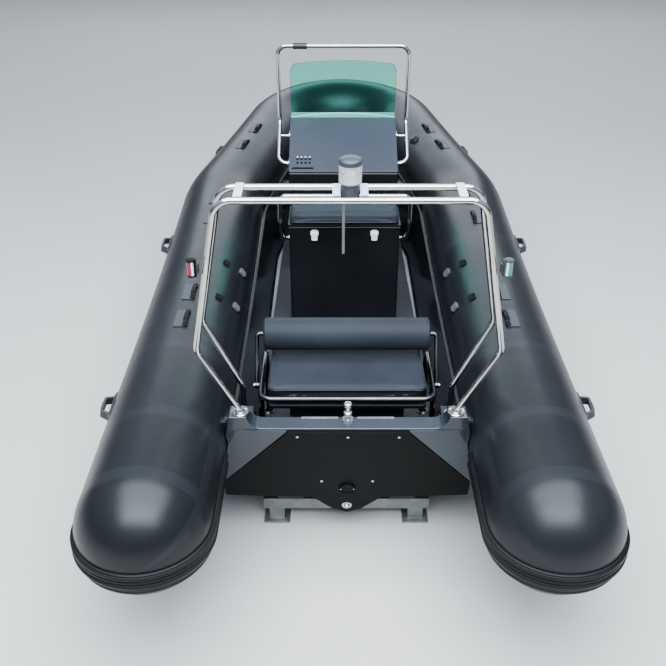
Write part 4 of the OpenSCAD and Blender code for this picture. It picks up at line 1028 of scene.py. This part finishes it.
# %% Lid strip and latches
strip = block("lid_strip", (0.594, 0.0035, 0.007), 0.0, 0.001, at(0, -0.2545, 0.9225))
claim(paint(strip, chrome), "seat_lid", "steel")
for i, x in enumerate((-0.16, 0.16)):
    wall = at(x, -0.2503, 0) @ Matrix.Rotation(math.pi / 2, 4, "X")
    latch = [block("plate", (0.042, 0.026, 0.003), 0.004, 0.0008, wall @ at(0, 0.894, 0)),
             block("lever", (0.032, 0.046, 0.005), 0.007, 0.0015, wall @ at(0, 0.876, 0.0032)),
             block("hook", (0.026, 0.018, 0.003), 0.002, 0.0008, wall @ at(0, 0.905, 0.0034)),
             sweep("roll", [Vector((x + dx, -0.256, 0.896)) for dx in (-0.015, 0.015)], 0.006, 3)]
    latch += [screw(0.0022, 0.001, 0.001, 0.0015, wall @ at(dx, z, 0.003), 10)
              for dx in (-0.018, 0.018) for z in (0.885, 0.902)]
    fit(paint(join(latch, "draw_latch_%d" % i), latch_steel), "steel", *(["seat_latches"] if i == 0 else ()))

# %% [markdown]
# ## Transom fittings
# The pad is held by screws along its top and low edges. Below it sit a half-round cover and a bright
# drain plug. The tow post on the shelf has two turned collars, and two steel strips lie beside it.

# %% Places on the raked transom
rake, shelf = math.radians(12), 0.683

def on_transom(x, z, out=0.0):
    return (at(x, transom_top + (shelf - z) * math.tan(rake), z)
            @ Matrix.Rotation(math.pi / 2 + rake, 4, "X") @ at(0, 0, out))

# %% Screws, plug and cover
head = [(0.0062, 0), (0.006, 0.0012), (0.0045, 0.0024), (0.002, 0.0029)]
pad_screws = [turned("head", head, 16, on_transom(x, z)) for x, z in
              ((-0.207, 0.646), (0, 0.644), (0.209, 0.644), (-0.11, 0.358), (0.11, 0.358))]
fit(paint(join(pad_screws, "pad_screws"), chrome), "steel")
plug = turned("drain_plug_turned", [(0.0225, 0.0003), (0.0225, 0.015), (0.021, 0.0165), (0.015, 0.0168),
                                    (0.0145, 0.015), (0.012, 0.015), (0.0118, 0.0225), (0.0105, 0.0245),
                                    (0.004, 0.025)], 40, on_transom(0, 0.188, -0.014))
fit(paint(plug, chrome), "steel", "drain_plug")
cover = softened("drain_cover", "drain_cover_moulded", 0.0012, 2, 35, 40)
fit(paint(cover, pad_black), "fitting_rubber", "drain_cover")
cover_screws = [screw(0.003, 0.0008, 0.0014, 0.0014, on_transom(x, 0.312, 0.008)) for x in (-0.028, 0.028)]
fit(paint(join(cover_screws, "cover_screws"), chrome), "steel")

# %% Shelf strips and tow post
strips = [block("strip", (0.15, 0.01, 0.0012), 0.0, 0.0004, at(x, -1.6, shelf + 0.0002))
          for x in (-0.115, 0.115)]
fit(paint(join(strips, "shelf_strip"), chrome), "steel")
post_place = at(0, -1.615, shelf + 0.0003)
post = turned("post", [(0.011, 0.006), (0.011, 0.023), (0.015, 0.0245), (0.0175, 0.0275),
                       (0.0175, 0.04), (0.015, 0.0425), (0.011, 0.044), (0.011, 0.0655),
                       (0.015, 0.067), (0.0175, 0.07), (0.0175, 0.082), (0.015, 0.085),
                       (0.01, 0.0868), (0.004, 0.0875)], 48, post_place)
foot = block("foot", (0.044, 0.038, 0.006), 0.008, 0.0015, post_place)
fit(paint(join([post, foot], "tow_post_turned"), chrome), "steel", "tow_post")

# %% Bow cleat and towing eye
for node in ("bow_cleat", "bow_eye"):
    fit(paint(softened(node, node + "_polished", 0.0015, 2, 35, 40), chrome), "steel", node)

# %% Side light brackets
for side, label in ((1, "starboard"), (-1, "port")):
    arm = block("side_light_arm_" + label, (0.01, 0.022, 0.036), 0.0, 0.001, at(side * 0.5555, aft_y, 1.382))
    fit(paint(arm, moulded), "panel_black")
print("small fittings made")

# %% [markdown]
# ## Floor, light and camera
# The boat stands on a plain pale floor under a dim dome that is darker near the horizon. A large soft box
# overhead draws one broad soft highlight along the tubes' tops, while their sides stay near black. A soft
# box over the stern adds the brighter patch on the round cones and the white lines on the steel, and one
# ahead of the bow lights the far end from behind.

# %% Floor
clear()
bpy.ops.mesh.primitive_grid_add(x_subdivisions=2, y_subdivisions=2, size=90, location=(0, 0, -0.002))
floor = bpy.context.object
floor.name = "studio_floor"
paint(floor, finish("floor_paint", (0.44, 0.425, 0.405), (0.46, 0.445, 0.425), (0.85, 0.95), 0.8))

# %% Soft boxes
def soft_box(name, place, aim, size, power, colour):
    clear()
    bpy.ops.object.light_add(type="AREA", location=place)
    lamp = bpy.context.object
    lamp.name = name
    lamp.data.shape = "RECTANGLE"
    lamp.data.size, lamp.data.size_y = size
    lamp.data.energy = power
    lamp.data.color = colour
    lamp.rotation_euler = (Vector(aim) - Vector(place)).to_track_quat("-Z", "Y").to_euler()

soft_box("overhead_soft_box", (0, -2.2, 5.6), (0, -2.3, 0), (6.8, 4.6), 1250, (0.82, 0.91, 1.0))
soft_box("bow_soft_box", (0, 10.0, 5.2), (0, 0.0, 0.6), (10.0, 3.6), 520, (0.84, 0.92, 1.0))
soft_box("stern_soft_box", (0, -6.2, 6.6), (0, -1.9, 0.6), (8.0, 3.0), 1450, (0.82, 0.91, 1.0))

# %% Dome
world = bpy.context.scene.world or bpy.data.worlds.new("pale_dome")
bpy.context.scene.world = world
world.use_nodes = True
tree = world.node_tree
sky = tune(tree.nodes["Background"], Strength=0.9)
height_of = add(tree, "SeparateXYZ")
fade = ramp(tree, (0.06, (0.11, 0.115, 0.125)), (0.42, (0.7, 0.84, 1.0)))
link(add(tree, "TexCoord"), "Generated", height_of, "Vector")
link(height_of, "Z", fade, "Fac")
link(fade, "Color", sky, "Color")

# %% Camera behind and above the stern
clear()
bpy.ops.object.camera_add(location=(-0.061, -4.45, 2.828), rotation=(math.radians(58.65), 0, 0))
camera = bpy.context.object
camera.data.sensor_width = 36
camera.data.lens = 46.49
bpy.context.scene.camera = camera

# %% [markdown]
# ## Finish the CAD nodes that keep their own shape
# A node whose shape is already right keeps its mesh and gets a finer finish in its material slots.

# %% Finishes for kept nodes
kept_finishes = {"deck": nonskid, "arch_rod": rod_paint, "seat_hinge": chrome, "seat_lid": furniture_coat}
for node, surface in kept_finishes.items():
    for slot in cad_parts[node].material_slots:
        slot.material = surface
print("CAD nodes refinished:", len(kept_finishes))
